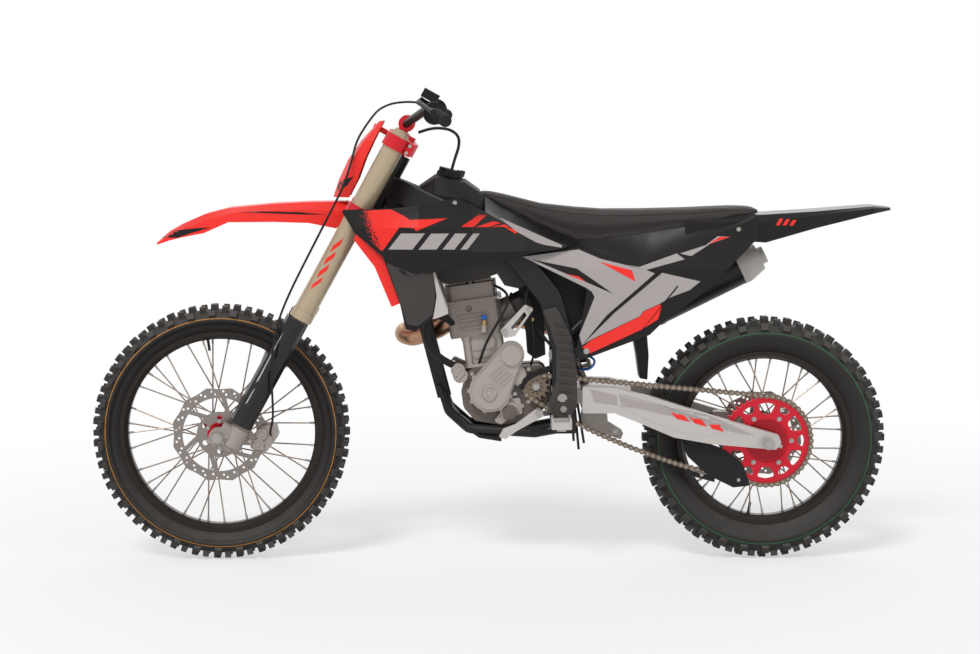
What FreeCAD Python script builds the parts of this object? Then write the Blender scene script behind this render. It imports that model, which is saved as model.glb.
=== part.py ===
import FreeCAD, Part
import math
import os
import Sketcher

# Motocross bike. Millimetres, +X to the rear, -Y to the rider's left, +Z up.
# Shapes are drawn from a datum on the ground under the front axle; every placement then moves
# them so that the origin is the rider's place on top of the seat.
SIZES = [
    ("wheelbase", 1475, "front axle to rear axle"),
    ("front_radius", 349, "front tyre, out to the lug tips"),
    ("rear_radius", 331, "rear tyre, out to the lug tips"),
    ("lug_height", 14, "tread lugs, out of the carcass"),
    ("front_tyre_half", 45, "half width of the front tyre"),
    ("rear_tyre_half", 54, "half width of the rear tyre"),
    ("front_rim_seat", 266.5, "bead seat radius of the front rim"),
    ("rear_rim_seat", 228.5, "bead seat radius of the rear rim"),
    ("front_rim_half", 25, "half width of the front rim"),
    ("rear_rim_half", 32, "half width of the rear rim"),
    ("rim_depth", 13, "bead seat to the spoke bed"),
    ("rim_lip", 9, "bead seat to the rim edge"),
    ("spoke_radius", 2, "half the spoke diameter"),
    ("axle_radius", 10, "half the axle diameter"),
    ("axle_bore", 7, "radius of the hole through the axle"),
    ("axle_reach", 128, "front axle, mid-plane to either end"),
    ("rear_axle_reach", 132, "rear axle, mid-plane to either end"),
    ("turn_gap", 0.4, "running clearance round an axle"),
    ("rake", 28.8, "steering axis from the vertical, degrees"),
    ("axle_lead", 42, "front axle ahead of the fork axis"),
    ("clamp_offset", 22, "fork axis ahead of the steering axis"),
    ("fork_spread", 103, "mid-plane to each fork axis"),
    ("stanchion_radius", 24, "lower fork leg"),
    ("outer_radius", 28.5, "upper fork tube"),
    ("outer_low", 385, "lower end of the upper fork tube along the steering axis"),
    ("fork_top", 942, "top of the upper fork tube along the steering axis"),
    ("low_clamp_level", 708, "middle of the lower clamp along the steering axis"),
    ("top_clamp_level", 920, "middle of the upper clamp along the steering axis"),
    ("clamp_thick", 36, "height of a fork clamp"),
    ("stem_radius", 14, "steering stem"),
    ("bar_rise", 56, "handlebar above the middle of the upper clamp"),
    ("head_radius", 32, "head tube outside radius"),
    ("bar_radius", 11.1, "handlebar tube"),
    ("bar_half", 400, "half width of the handlebar"),
    ("grip_radius", 15.5, "handlebar grip"),
    ("disc_front", 130, "front brake disc radius"),
    ("disc_rear", 120, "rear brake disc radius"),
    ("disc_thick", 3, "brake disc thickness"),
    ("disc_front_line", 62, "front disc left of the mid-plane"),
    ("disc_rear_line", 66, "rear disc right of the mid-plane"),
    ("chain_line", 73, "chain left of the mid-plane"),
    ("chain_pitch", 15.875, "link length"),
    ("roller_radius", 5.08, "chain roller"),
    ("plate_height", 14.6, "height of a chain side plate"),
    ("plate_thick", 4.4, "inner and outer side plate together"),
    ("sprocket_thick", 6, "tooth width"),
    ("rear_teeth", 48, "teeth on the wheel sprocket"),
    ("front_teeth", 13, "teeth on the engine sprocket"),
    ("sprocket_x", 853, "engine sprocket from the datum"),
    ("sprocket_z", 478, "engine sprocket above the ground"),
    ("pivot_x", 922, "swingarm pivot from the datum"),
    ("pivot_z", 452, "swingarm pivot above the ground"),
    ("pivot_radius", 9, "swingarm pivot bolt"),
    ("crank_x", 729, "crankshaft from the datum"),
    ("crank_z", 469, "crankshaft above the ground"),
    ("case_width", 120, "crankcase, across the bike"),
    ("engine_lean", 8, "cylinder leans forward, degrees"),
    ("spar_line", 96, "mid-plane to the middle of a frame spar"),
    ("spar_thick", 20, "frame spar wall to wall"),
    ("header_radius", 24, "exhaust header"),
    ("seat_x", 1080, "rider's place from the datum"),
    ("seat_height", 952, "rider's place above the ground"),
    ("seat_half", 82, "half width of the seat at the rider's place"),
    ("panel_thick", 4, "wall of the plastic panels"),
    ("hose_radius", 4, "tank vent hose"),
    ("drain_radius", 3.5, "drain hoses"),
    ("brake_hose_radius", 3, "front brake hose"),
    ("peg_length", 82, "footpeg"),
]

doc = FreeCAD.newDocument("MotocrossBike")
sheet = doc.addObject("Spreadsheet::Sheet", "Dims")
for row, (alias, value, note) in enumerate(SIZES, 1):
    sheet.set("A%d" % row, note)
    sheet.set("B%d" % row, str(value))
    sheet.setAlias("B%d" % row, alias)
doc.recompute()


def size(alias):
    return float(sheet.get(alias))


def vec(x, y, z):
    return FreeCAD.Vector(x, y, z)


nodes = []
UP = vec(0, 0, 1)
ALONG = vec(1, 0, 0)
ACROSS = vec(0, 1, 0)

rake = math.radians(size("rake"))
steer_up = vec(math.sin(rake), 0, math.cos(rake))
steer_back = vec(math.cos(rake), 0, -math.sin(rake))
front_axle_at = vec(0, 0, size("front_radius"))
rear_axle_at = vec(size("wheelbase"), 0, size("rear_radius"))
steer_base = front_axle_at + steer_back * (size("axle_lead") + size("clamp_offset"))
seat_point = vec(size("seat_x"), 0, size("seat_height"))
pivot_at = vec(size("pivot_x"), 0, size("pivot_z"))
crank_at = vec(size("crank_x"), 0, size("crank_z"))
sprocket_at = vec(size("sprocket_x"), 0, size("sprocket_z"))


# Frames that a sub-part can be drawn in, each with its origin and its turn about Y.
def frame_place(frame):
    origins = {
        "datum": (vec(0, 0, 0), 0),
        "front": (front_axle_at, 0),
        "rear": (rear_axle_at, 0),
        "steer": (steer_base, size("rake")),
        "crank": (crank_at, 0),
        "cylinder": (crank_at, -size("engine_lean")),
        "pivot": (pivot_at, 0),
        "drive": (sprocket_at, 0),
    }
    origin, turn = origins[frame]
    return FreeCAD.Placement(origin - seat_point, FreeCAD.Rotation(ACROSS, turn))


def finish(thing, label, frame="datum"):
    thing.Label = label
    thing.Placement = frame_place(frame).multiply(thing.Placement)
    nodes.append(thing)
    return thing


# Takes the room of neighbouring sub-parts out of a finished one.
def carve(node, others):
    label = node.Label
    tool = others[0]
    if len(others) > 1:
        tool = doc.addObject("Part::MultiFuse", "Room")
        tool.Shapes = others
    thing = doc.addObject("Part::Cut", "Seated")
    thing.Base = node
    thing.Tool = tool
    node.Label = label + "_blank"
    thing.Label = label
    nodes[nodes.index(node)] = thing
    return thing


def named(label):
    return [node for node in nodes if node.Label == label][0]


def in_steer(x, y, z):
    away = vec(x, y, z) - steer_base
    return vec(away.dot(steer_back), y, away.dot(steer_up))


def turned(axis):
    return FreeCAD.Rotation(UP, axis)


def cyl(radius, height, at, axis=ACROSS):
    thing = doc.addObject("Part::Cylinder", "Cylinder")
    put(thing, "Radius", radius)
    put(thing, "Height", height)
    thing.Placement = FreeCAD.Placement(at, turned(axis))
    return thing


def put(thing, name, amount):
    if isinstance(amount, str):
        thing.setExpression(name, amount)
    else:
        setattr(thing, name, amount)


def prism(start, end, radius, sides):
    axis = end - start
    thing = doc.addObject("Part::Prism", "Prism")
    thing.Polygon = sides
    put(thing, "Circumradius", radius)
    put(thing, "Height", axis.Length)
    thing.Placement = FreeCAD.Placement(start, turned(axis))
    return thing


def cone(low, high, height, at, axis=ACROSS):
    thing = doc.addObject("Part::Cone", "Cone")
    put(thing, "Radius1", low)
    put(thing, "Radius2", high)
    put(thing, "Height", height)
    thing.Placement = FreeCAD.Placement(at, turned(axis))
    return thing


def block(length, width, height, middle, turn=0):
    thing = doc.addObject("Part::Box", "Block")
    sides = []
    for name, amount in (("Length", length), ("Width", width), ("Height", height)):
        put(thing, name, amount)
        sides.append(amount if not isinstance(amount, str) else None)
    doc.recompute([thing])
    half = vec(thing.Length.Value / 2, thing.Width.Value / 2, thing.Height.Value / 2)
    rotation = FreeCAD.Rotation(ACROSS, turn)
    thing.Placement = FreeCAD.Placement(middle - rotation.multVec(half), rotation)
    return thing


def between(start, end, radius):
    axis = end - start
    return cyl(radius, axis.Length, start, axis)


def fuse(things):
    if len(things) == 1:
        return things[0]
    thing = doc.addObject("Part::MultiFuse", "Fuse")
    thing.Shapes = things
    return thing


def cut(base, tools):
    thing = doc.addObject("Part::Cut", "Cut")
    thing.Base = base
    thing.Tool = fuse(tools)
    return thing


def group(things):
    thing = doc.addObject("Part::Compound", "Group")
    thing.Links = things
    return thing


# Corner points with radii become straight runs joined by tangent arcs.
def rounded(points, closed):
    count = len(points)
    corners = []
    for index, item in enumerate(points):
        spot, radius = item
        inner = closed or 0 < index < count - 1
        if not inner or radius <= 0:
            corners.append((spot, spot, spot))
            continue
        before = points[(index - 1) % count][0] - spot
        after = points[(index + 1) % count][0] - spot
        half = before.getAngle(after) / 2
        reach = radius / math.tan(half)
        before.normalize()
        after.normalize()
        bisector = before + after
        bisector.normalize()
        centre = spot + bisector * (radius / math.sin(half))
        middle = centre - bisector * radius
        corners.append((spot + before * reach, middle, spot + after * reach))
    edges = []
    for index, (enter, middle, leave) in enumerate(corners):
        if (enter - leave).Length > 1e-6:
            edges.append(Part.Arc(enter, middle, leave))
        following = (index + 1) % count
        if following == 0 and not closed:
            break
        if (corners[following][0] - leave).Length > 1e-6:
            edges.append(Part.LineSegment(leave, corners[following][0]))
    return edges


PLANES = {
    "side": FreeCAD.Rotation(vec(1, 0, 0), 90),
    "top": FreeCAD.Rotation(),
    "front": FreeCAD.Rotation(vec(1, 1, 1), 120),
}


def corner_list(outline, radius):
    corners = []
    for item in outline:
        amount = item[2] if len(item) > 2 else radius
        corners.append((vec(item[0], item[1], 0), amount))
    return corners


# A body with a closed sketch on one of its own planes, padded both ways from an offset.
# Side view outlines are (x, z), top view (x, y), front view (y, z).
def plate(plane, outline, thick, offset=0.0, radius=0.0, holes=()):
    body = doc.addObject("PartDesign::Body", "Body")
    roles = {"side": "XZ_Plane", "top": "XY_Plane", "front": "YZ_Plane"}
    base = [o for o in body.Origin.OriginFeatures if o.Role == roles[plane]][0]
    sketch = body.newObject("Sketcher::SketchObject", "Outline")
    sketch.AttachmentSupport = (base, [""])
    sketch.MapMode = "FlatFace"
    depth = -offset if plane == "side" else offset
    sketch.AttachmentOffset = FreeCAD.Placement(vec(0, 0, depth), FreeCAD.Rotation())
    for edge in rounded(corner_list(outline, radius), True):
        sketch.addGeometry(edge, False)
    for x, y, hole in holes:
        sketch.addGeometry(Part.Circle(vec(x, y, 0), UP, hole), False)
    pad = body.newObject("PartDesign::Pad", "Pad")
    pad.Profile = sketch
    pad.Midplane = True
    put(pad, "Length", thick)
    return body


# A body of revolution about Y from a profile of (across, radius) points.
def turned_body(outline, radius=0.0):
    body = doc.addObject("PartDesign::Body", "Body")
    base = [o for o in body.Origin.OriginFeatures if o.Role == "YZ_Plane"][0]
    sketch = body.newObject("Sketcher::SketchObject", "Profile")
    sketch.AttachmentSupport = (base, [""])
    sketch.MapMode = "FlatFace"
    for edge in rounded(corner_list(outline, radius), True):
        sketch.addGeometry(edge, False)
    spin = body.newObject("PartDesign::Revolution", "Revolution")
    spin.Profile = sketch
    spin.ReferenceAxis = (sketch, ["H_Axis"])
    spin.Angle = 360
    return body


def section(plane, level, outline, radius=0.0):
    sketch = doc.addObject("Sketcher::SketchObject", "Section")
    normal = {"side": vec(0, 1, 0), "top": UP, "front": ALONG}[plane]
    sketch.Placement = FreeCAD.Placement(normal * level, PLANES[plane])
    for edge in rounded(corner_list(outline, radius), True):
        sketch.addGeometry(edge, False)
    return sketch


def loft(sections, ruled=True):
    thing = doc.addObject("Part::Loft", "Loft")
    thing.Sections = sections
    thing.Solid = True
    thing.Ruled = ruled
    return thing


# A curved skin: at each station along X the distance from the mid-plane at each level.
def skin(levels, stations, wall, side):
    sections = []
    for x, reaches in stations:
        outer = [(side * reach, level) for level, reach in zip(levels, reaches)]
        inner = [(side * (reach - wall), level) for level, reach in zip(levels, reaches)]
        sections.append(section("front", x, outer + inner[::-1]))
    return loft(sections)


def common(first, second):
    thing = doc.addObject("Part::Common", "Common")
    thing.Base = first
    thing.Tool = second
    return thing


# A round bar or hose along straight runs joined by arcs.
def path_wire(points, radius):
    corners = [(spot, radius) for spot in points]
    return Part.Wire([edge.toShape() for edge in rounded(corners, False)])


def swept(points, bend, tube, width=0, height=0):
    path = doc.addObject("Part::Feature", "Path")
    path.Shape = path_wire(points, bend)
    start = points[0]
    heading = points[1] - points[0]
    if width:
        profile = doc.addObject("Sketcher::SketchObject", "Profile")
        edges = [(-width / 2, -height / 2), (width / 2, -height / 2),
                 (width / 2, height / 2), (-width / 2, height / 2)]
        for edge in rounded(corner_list(edges, tube), True):
            profile.addGeometry(edge, False)
        side = heading.cross(ACROSS)
        flat = ACROSS if side.Length > 1e-6 else ALONG
        profile.Placement = FreeCAD.Placement(start, FreeCAD.Rotation(flat, vec(0, 0, 0), heading, "ZXY"))
    else:
        profile = doc.addObject("Part::Circle", "Profile")
        put(profile, "Radius", tube)
        profile.Placement = FreeCAD.Placement(start, turned(heading))
    thing = doc.addObject("Part::Sweep", "Sweep")
    thing.Sections = [profile]
    thing.Spine = (path, ["Edge%d" % (i + 1) for i in range(len(path.Shape.Edges))])
    thing.Solid = True
    thing.Frenet = False
    return thing


# A hose whose every corner has the largest arc that its two runs allow.
def hose(points, alias):
    corners = [(points[0], 0)]
    radii = []
    for index in range(1, len(points) - 1):
        before = points[index - 1] - points[index]
        after = points[index + 1] - points[index]
        turn = math.pi - before.getAngle(after)
        arc = 0.45 * min(before.Length, after.Length) / math.tan(turn / 2)
        radii.append(arc)
        corners.append((points[index], arc))
    corners.append((points[-1], 0))
    path = doc.addObject("Part::Feature", "Path")
    path.Shape = Part.Wire([edge.toShape() for edge in rounded(corners, False)])
    profile = doc.addObject("Part::Circle", "Profile")
    profile.setExpression("Radius", "Dims." + alias)
    profile.Placement = FreeCAD.Placement(points[0], turned(points[1] - points[0]))
    thing = doc.addObject("Part::Sweep", "Sweep")
    thing.Sections = [profile]
    thing.Spine = (path, ["Edge%d" % (i + 1) for i in range(len(path.Shape.Edges))])
    thing.Solid = True
    hoses.append((thing, alias, path, radii))
    return thing


hoses = []


# A carcass with rows of lugs: each row is one turned segment repeated round the axle.
def tyre(label, frame, outer, half, seat, rim_half, rows):
    wall = 6
    base = outer - size("lug_height")
    middle = (outer + seat) / 2
    right = [
        (half * 0.45, base), (half * 0.84, base - 9), (half - 4, base - 24), (half * 0.86, middle),
        (rim_half - 3, seat + 11), (rim_half - 3, seat), (rim_half - 8, seat), (rim_half - 8, seat + 12),
        (half * 0.86 - wall, middle), (half - 13, base - 24), (half * 0.5, base - 11),
    ]
    body = turned_body(right + [(-across, radius) for across, radius in reversed(right)])
    step = 360.0 / rows
    inner = [(half * 0.09, base - 4), (half * 0.09, outer), (half * 0.36, outer - 1.5),
             (half * 0.36, base - 4)]
    middle_row = [(half * 0.44, base - 6), (half * 0.44, outer - 2), (half * 0.68, outer - 7),
                  (half * 0.68, base - 10)]
    shoulder = [(half * 0.76, base - 12), (half * 0.76, outer - 8), (half * 0.97, outer - 17),
                (half, base - 26),
                (half - 8, base - 34)]
    lugs = []
    for outline, turn, width in ((inner, 0, 0.52), (middle_row, 0.5, 0.5), (shoulder, 0.05, 0.56)):
        mirrored = [(-across, radius) for across, radius in reversed(outline)]
        lugs.append(lug(body, [outline, mirrored], step * turn, step * width))
    pattern = body.newObject("PartDesign::PolarPattern", "Rows")
    pattern.Originals = lugs
    pattern.Axis = ([o for o in body.Origin.OriginFeatures if o.Role == "Y_Axis"][0], [""])
    pattern.Angle = 360
    pattern.Occurrences = rows
    pattern.Refine = False
    body.Tip = pattern
    return finish(body, label, frame)


def lug(body, outlines, turn, width):
    base = [o for o in body.Origin.OriginFeatures if o.Role == "YZ_Plane"][0]
    sketch = body.newObject("Sketcher::SketchObject", "Lugs")
    sketch.AttachmentSupport = (base, [""])
    sketch.MapMode = "FlatFace"
    sketch.AttachmentOffset = FreeCAD.Placement(vec(0, 0, 0), FreeCAD.Rotation(vec(1, 0, 0), turn))
    for outline in outlines:
        for edge in rounded(corner_list(outline, 0), True):
            sketch.addGeometry(edge, False)
    spin = body.newObject("PartDesign::Revolution", "Lug")
    spin.Profile = sketch
    spin.ReferenceAxis = (sketch, ["H_Axis"])
    spin.Midplane = True
    spin.Angle = width
    spin.Refine = False
    return spin


def rim(label, frame, seat, half):
    bed = seat - size("rim_depth")
    lip = seat + size("rim_lip")
    profile = [
        (-half, lip), (2 - half, lip), (3 - half, seat), (8 - half, seat), (-12, bed + 3),
        (12, bed + 3), (half - 8, seat), (half - 3, seat), (half - 2, lip), (half, lip),
        (half, seat - 3), (13, bed), (-13, bed), (-half, seat - 3),
    ]
    return finish(turned_body(profile), label, frame)


def hub(label, frame, left, right, flange, barrel, disc_side):
    bore = size("axle_radius") + size("turn_gap")
    if disc_side < 0:
        start, end = disc_side, right + 8
        start_radius, end_radius = 34, 22
    else:
        start, end = left - 8, disc_side
        start_radius, end_radius = 24, 34
    profile = [
        (start, bore), (end, bore), (end, end_radius), (right, end_radius), (right, flange),
        (right - 5, flange), (right - 9, barrel), (left + 9, barrel), (left + 5, flange),
        (left, flange), (left, start_radius), (start, start_radius),
    ]
    return finish(turned_body(profile), label, frame)


def spokes(label, frame, left, right, flange, bed, hub_node, rim_node):
    pieces = []
    per_side = 18
    for side, plane in ((0, left + 2.5), (1, right - 2.5)):
        for index in range(per_side):
            lean = 1 if index % 2 else -1
            root = math.radians(360.0 / per_side * index + 10 * side)
            tip = root + math.radians(lean * 38 + 3)
            inner = vec(math.cos(root) * (flange - 3), plane, math.sin(root) * (flange - 3))
            outer = vec(math.cos(tip) * (bed + 1), plane * 0.12, math.sin(tip) * (bed + 1))
            inner = inner + vec(0, lean * 2.4, 0)
            pieces.append(prism(inner, outer, "Dims.spoke_radius", 8))
    whole = doc.addObject("Part::Cut", "Spokes")
    whole.Base = group(pieces)
    tools = doc.addObject("Part::MultiFuse", "Seats")
    copies = []
    for node in (hub_node, rim_node):
        twin = doc.addObject("Part::Feature", "Seat")
        doc.recompute()
        twin.Shape = node.Shape.copy()
        twin.Placement = FreeCAD.Placement()
        copies.append(twin)
    tools.Shapes = copies
    whole.Tool = tools
    return finish(whole, label, frame)


# A waved friction ring on slanted arms, with slots in pairs.
def disc(label, frame, radius, line, inner, lobes, lean):
    thick = size("disc_thick")
    outline = []
    for index in range(2 * lobes):
        angle = math.pi * index / lobes
        reach = radius if index % 2 else radius - 7
        outline.append((math.cos(angle) * reach, math.sin(angle) * reach, 12))
    ring = plate("side", outline, "Dims.disc_thick", line, 0, [(0, 0, radius - 30)])
    low = line - thick / 2
    carrier = cyl(62, "Dims.disc_thick", vec(0, low, 0))
    arms = []
    for index in range(6):
        root = math.pi / 3 * index
        tip = root + lean * 0.42
        start = (math.cos(root) * 52, math.sin(root) * 52)
        end = (math.cos(tip) * (radius - 24), math.sin(tip) * (radius - 24))
        across = (math.sin(root) * 8, -math.cos(root) * 8)
        arms.append(plate("side", [(start[0] + across[0], start[1] + across[1]),
                                   (end[0] + across[0], end[1] + across[1]),
                                   (end[0] - across[0], end[1] - across[1]),
                                   (start[0] - across[0], start[1] - across[1])],
                          "Dims.disc_thick", line))
    tools = [cyl(inner, thick + 2, vec(0, low - 1, 0))]
    for index in range(2 * lobes):
        angle = math.pi * (index + 0.5) / lobes
        for reach, turn in ((radius - 12, 0.04), (radius - 20, -0.04)):
            spot = vec(math.cos(angle + turn) * reach, low - 1, math.sin(angle + turn) * reach)
            tools.append(cyl(3.2, thick + 2, spot))
    for index in range(6):
        angle = math.pi / 3 * (index + 0.5)
        tools.append(cyl(7, thick + 2, vec(math.cos(angle) * 46, low - 1, math.sin(angle) * 46)))
    return finish(cut(fuse([ring, carrier] + arms), tools), label, frame)


def front_wheel():
    seat = size("front_rim_seat")
    tyre("front_tyre", "front", size("front_radius"), size("front_tyre_half"), seat, size("front_rim_half"),
         40)
    rim_node = rim("front_rim", "front", seat, size("front_rim_half"))
    line = -size("disc_front_line")
    hub_node = hub("front_hub", "front", -34, 34, 46, 20, line + size("disc_thick") / 2)
    spokes("front_spokes", "front", -34, 34, 46, seat - size("rim_depth"), hub_node, rim_node)
    disc("front_disc", "front", size("disc_front"), line, 24, 12, 1)


def rear_wheel():
    seat = size("rear_rim_seat")
    tyre("rear_tyre", "rear", size("rear_radius"), size("rear_tyre_half"), seat, size("rear_rim_half"), 36)
    rim_node = rim("rear_rim", "rear", seat, size("rear_rim_half"))
    line = size("disc_rear_line")
    left = -(size("chain_line") - size("sprocket_thick") / 2)
    bore = size("axle_radius") + size("turn_gap")
    face = line - size("disc_thick") / 2
    profile = [(left, bore), (face, bore), (face, 34), (38, 34), (38, 50), (33, 50), (29, 24), (-33, 24),
               (-37, 60), (-42, 60), (-44, 56), (left, 62)]
    hub_node = finish(turned_body(profile), "rear_hub", "rear")
    spokes("rear_spokes", "rear", -42, 38, 53, seat - size("rim_depth"), hub_node, rim_node)
    disc("rear_disc", "rear", size("disc_rear"), line, 24, 12, -1)


def pitch_radius(teeth):
    return size("chain_pitch") / 2 / math.sin(math.pi / teeth)


# Rollers of the closed chain: both wraps lie in the tooth gaps, the upper run is straight and the
# lower run sags by what a whole number of links leaves over.
def chain_rollers():
    pitch = size("chain_pitch")
    large = pitch_radius(size("rear_teeth"))
    small = pitch_radius(size("front_teeth"))
    away = rear_axle_at - sprocket_at
    distance = away.Length
    slope = math.atan2(away.z, away.x)
    lean = math.asin((large - small) / distance)
    top = slope + math.pi / 2 + lean
    low = slope - math.pi / 2 - lean
    step_large = 2 * math.pi / size("rear_teeth")
    step_small = 2 * math.pi / size("front_teeth")
    points = []
    straight = math.sqrt(distance ** 2 - (large - small) ** 2)
    spans = round(straight / pitch)
    # wheel sprocket, from its top tangent point over the rear to its bottom one
    start = round(top / step_large) * step_large
    steps_large = int((start - low) / step_large + 0.5)
    for index in range(steps_large + 1):
        angle = start - index * step_large
        points.append(rear_axle_at + vec(math.cos(angle), 0, math.sin(angle)) * large)
    first = points[0]
    last = points[-1]
    # upper run: the sprocket is turned until a whole number of links reaches its tangent point
    for angle in [top + math.radians(a * 0.02) for a in range(-1500, 1500)]:
        spot = sprocket_at + vec(math.cos(angle), 0, math.sin(angle)) * small
        if abs((spot - first).Length - spans * pitch) < 0.02:
            break
    upper = [first + (spot - first) * (i / spans) for i in range(1, spans)]
    wrap = []
    turn = int(round((2 * math.pi - (angle - low)) / step_small))
    for index in range(turn + 1):
        here = angle + index * step_small
        wrap.append(sprocket_at + vec(math.cos(here), 0, math.sin(here)) * small)
    # lower run: an arc whose chords are one pitch each
    start_low = wrap[-1]
    chord = last - start_low
    links = int(math.ceil(chord.Length / pitch))
    low_bow, high_bow = 1e-4, 0.5
    for _ in range(60):
        bow = (low_bow + high_bow) / 2
        reach = pitch * math.sin(links * bow / 2) / math.sin(bow / 2)
        if reach > chord.Length:
            low_bow = bow
        else:
            high_bow = bow
    heading = math.atan2(chord.z, chord.x) - bow * (links - 1) / 2
    here = vec(start_low.x, 0, start_low.z)
    lower = []
    for index in range(links - 1):
        here = here + vec(math.cos(heading), 0, math.sin(heading)) * pitch
        heading = heading + bow
        lower.append(here)
    loop = points + lower[::-1] + wrap[::-1] + upper[::-1]
    print("chain links", len(loop), "lower run bow", round(bow, 5))
    return loop, start, angle, lower


def chain():
    loop, start, angle = chain_rollers()[:3]
    half_plate = size("plate_height") / 2
    count = len(loop)
    outer, inner = [], []
    for index, spot in enumerate(loop):
        before = loop[index - 1] - spot
        after = loop[(index + 1) % count] - spot
        before.normalize()
        after.normalize()
        normal = vec(before.z - after.z, 0, after.x - before.x)
        normal.normalize()
        outer.append(spot + normal * half_plate)
        inner.append(spot - normal * half_plate)
    if Part.makePolygon(outer + outer[:1]).Length < Part.makePolygon(inner + inner[:1]).Length:
        outer, inner = inner, outer
    line = size("chain_line")
    gap = size("sprocket_thick") / 2 + 0.4
    thick = size("plate_thick")
    bands = []
    for low in (-line - gap - thick, -line + gap):
        shift = vec(0, low, 0)
        ring = Part.Face([Part.makePolygon([p + shift for p in outer + outer[:1]])])
        hole = Part.Face([Part.makePolygon([p + shift for p in inner + inner[:1]])])
        bands.append(ring.cut(hole).extrude(vec(0, thick, 0)))
    rollers = []
    for spot in loop:
        ring = []
        for index in range(9):
            corner = math.pi / 4 * index + math.pi / 8
            reach = vec(math.cos(corner), 0, math.sin(corner)) * size("roller_radius")
            ring.append(spot + reach - vec(0, line + gap + 0.1, 0))
        rollers.append(Part.Face(Part.makePolygon(ring)).extrude(vec(0, 2 * gap + 0.2, 0)))
    shape = bands[0].fuse(bands[1:] + rollers)
    thing = doc.addObject("Part::Feature", "Chain")
    thing.Shape = shape
    finish(thing, "drive_chain")
    sprocket("rear_sprocket", "rear", size("rear_teeth"), start, 60, True)
    sprocket("front_sprocket", "drive", size("front_teeth"), angle, 13, False)


# Teeth are a disc with a round gap for each roller.
def sprocket(label, frame, teeth, phase, inner, cuts):
    pitch = pitch_radius(teeth)
    thick = size("sprocket_thick")
    low = -size("chain_line") - thick / 2
    blank = cyl(pitch + 3.2, "Dims.sprocket_thick", vec(0, low, 0))
    tools = []
    for index in range(int(teeth)):
        angle = phase + 2 * math.pi * index / teeth
        spot = vec(math.cos(angle) * pitch, low - 1, math.sin(angle) * pitch)
        tools.append(cyl("Dims.roller_radius + 0.3", thick + 2, spot))
        flare = vec(math.cos(angle) * (pitch + 3.5), low - 1, math.sin(angle) * (pitch + 3.5))
        tools.append(cyl("Dims.roller_radius + 1.4", thick + 2, flare))
    tools.append(cyl(inner, thick + 2, vec(0, low - 1, 0)))
    if not cuts:
        for index in range(9):
            angle = 2 * math.pi * index / 9
            tools.append(cyl(2, thick + 2, vec(math.cos(angle) * 17.5, low - 1, math.sin(angle) * 17.5)))
        return finish(cut(blank, tools), label, frame)
    bolts = []
    for index in range(6):
        angle = math.pi / 3 * index
        for reach, turn, width in ((79, 30, 11.5), (79, 6, 5), (74, 54, 5)):
            around = angle + math.radians(turn)
            tools.append(cyl(width, thick + 2, vec(math.cos(around) * reach, low - 1,
                                                   math.sin(around) * reach)))
        bolts.append(cyl(6.5, 5, vec(math.cos(angle) * 68, low - 4.9, math.sin(angle) * 68)))
    return finish(fuse([cut(blank, tools)] + bolts), label, frame)


def fork():
    spread = size("fork_spread")
    ahead = -size("clamp_offset")
    lead = size("axle_lead")
    outers, legs, guards = [], [], []
    outer_length = size("fork_top") - size("outer_low")
    for side in (-1, 1):
        spot = vec(ahead, side * spread, size("outer_low"))
        tube = cyl("Dims.outer_radius", outer_length, spot, UP)
        ring = cyl("Dims.outer_radius + 3", 26, spot, UP)
        cap = cyl(22, 8, vec(ahead, side * spread, size("fork_top")), UP)
        nut = prism(vec(ahead, side * spread, size("fork_top") + 8),
                    vec(ahead, side * spread, size("fork_top") + 14), 14, 6)
        bore = cyl("Dims.stanchion_radius", 160, spot - vec(0, 0, 1), UP)
        outers.append(cut(fuse([tube, ring, cap, nut]), [bore]))
        foot = vec(ahead, side * spread, 18)
        legs.append(cyl("Dims.stanchion_radius", size("outer_low") + 112, foot, UP))
    finish(group(outers), "fork_tubes", "steer")
    legs_all = []
    for side, leg in zip((-1, 1), legs):
        boss = cyl(25, 30, vec(ahead - lead, side * spread - 15, 0))
        web = block(52, 30, 62, vec(ahead - lead / 2, side * spread, 12))
        foot = cyl(27, 56, vec(ahead, side * spread, -6), UP)
        hole = cyl("Dims.axle_radius", 60, vec(ahead - lead, side * spread - 30, 0))
        legs_all.append(cut(fuse([leg, boss, web, foot]), [hole]))
    finish(group(legs_all), "fork_legs", "steer")
    for side in (-1, 1):
        shape = []
        for x, y in [(26, 12), (18, 28), (-6, 36), (-30, 28), (-37, 6), (-37, -20),
                     (-33, -20), (-33, 4), (-27, 25), (-6, 32), (15, 25), (22, 11)]:
            shape.append((ahead + x, side * (spread + y)))
        lower = section("top", 58, shape)
        upper = section("top", size("outer_low") - 4, shape)
        guards.append(loft([lower, upper]))
    guard_set = []
    for side, guard in zip((-1, 1), guards):
        tie = block(5, 12, 40, vec(ahead - 29.5, side * (spread + 2), 84))
        guard_set.append(fuse([guard, tie]))
    finish(group(guard_set), "fork_guards", "steer")


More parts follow.
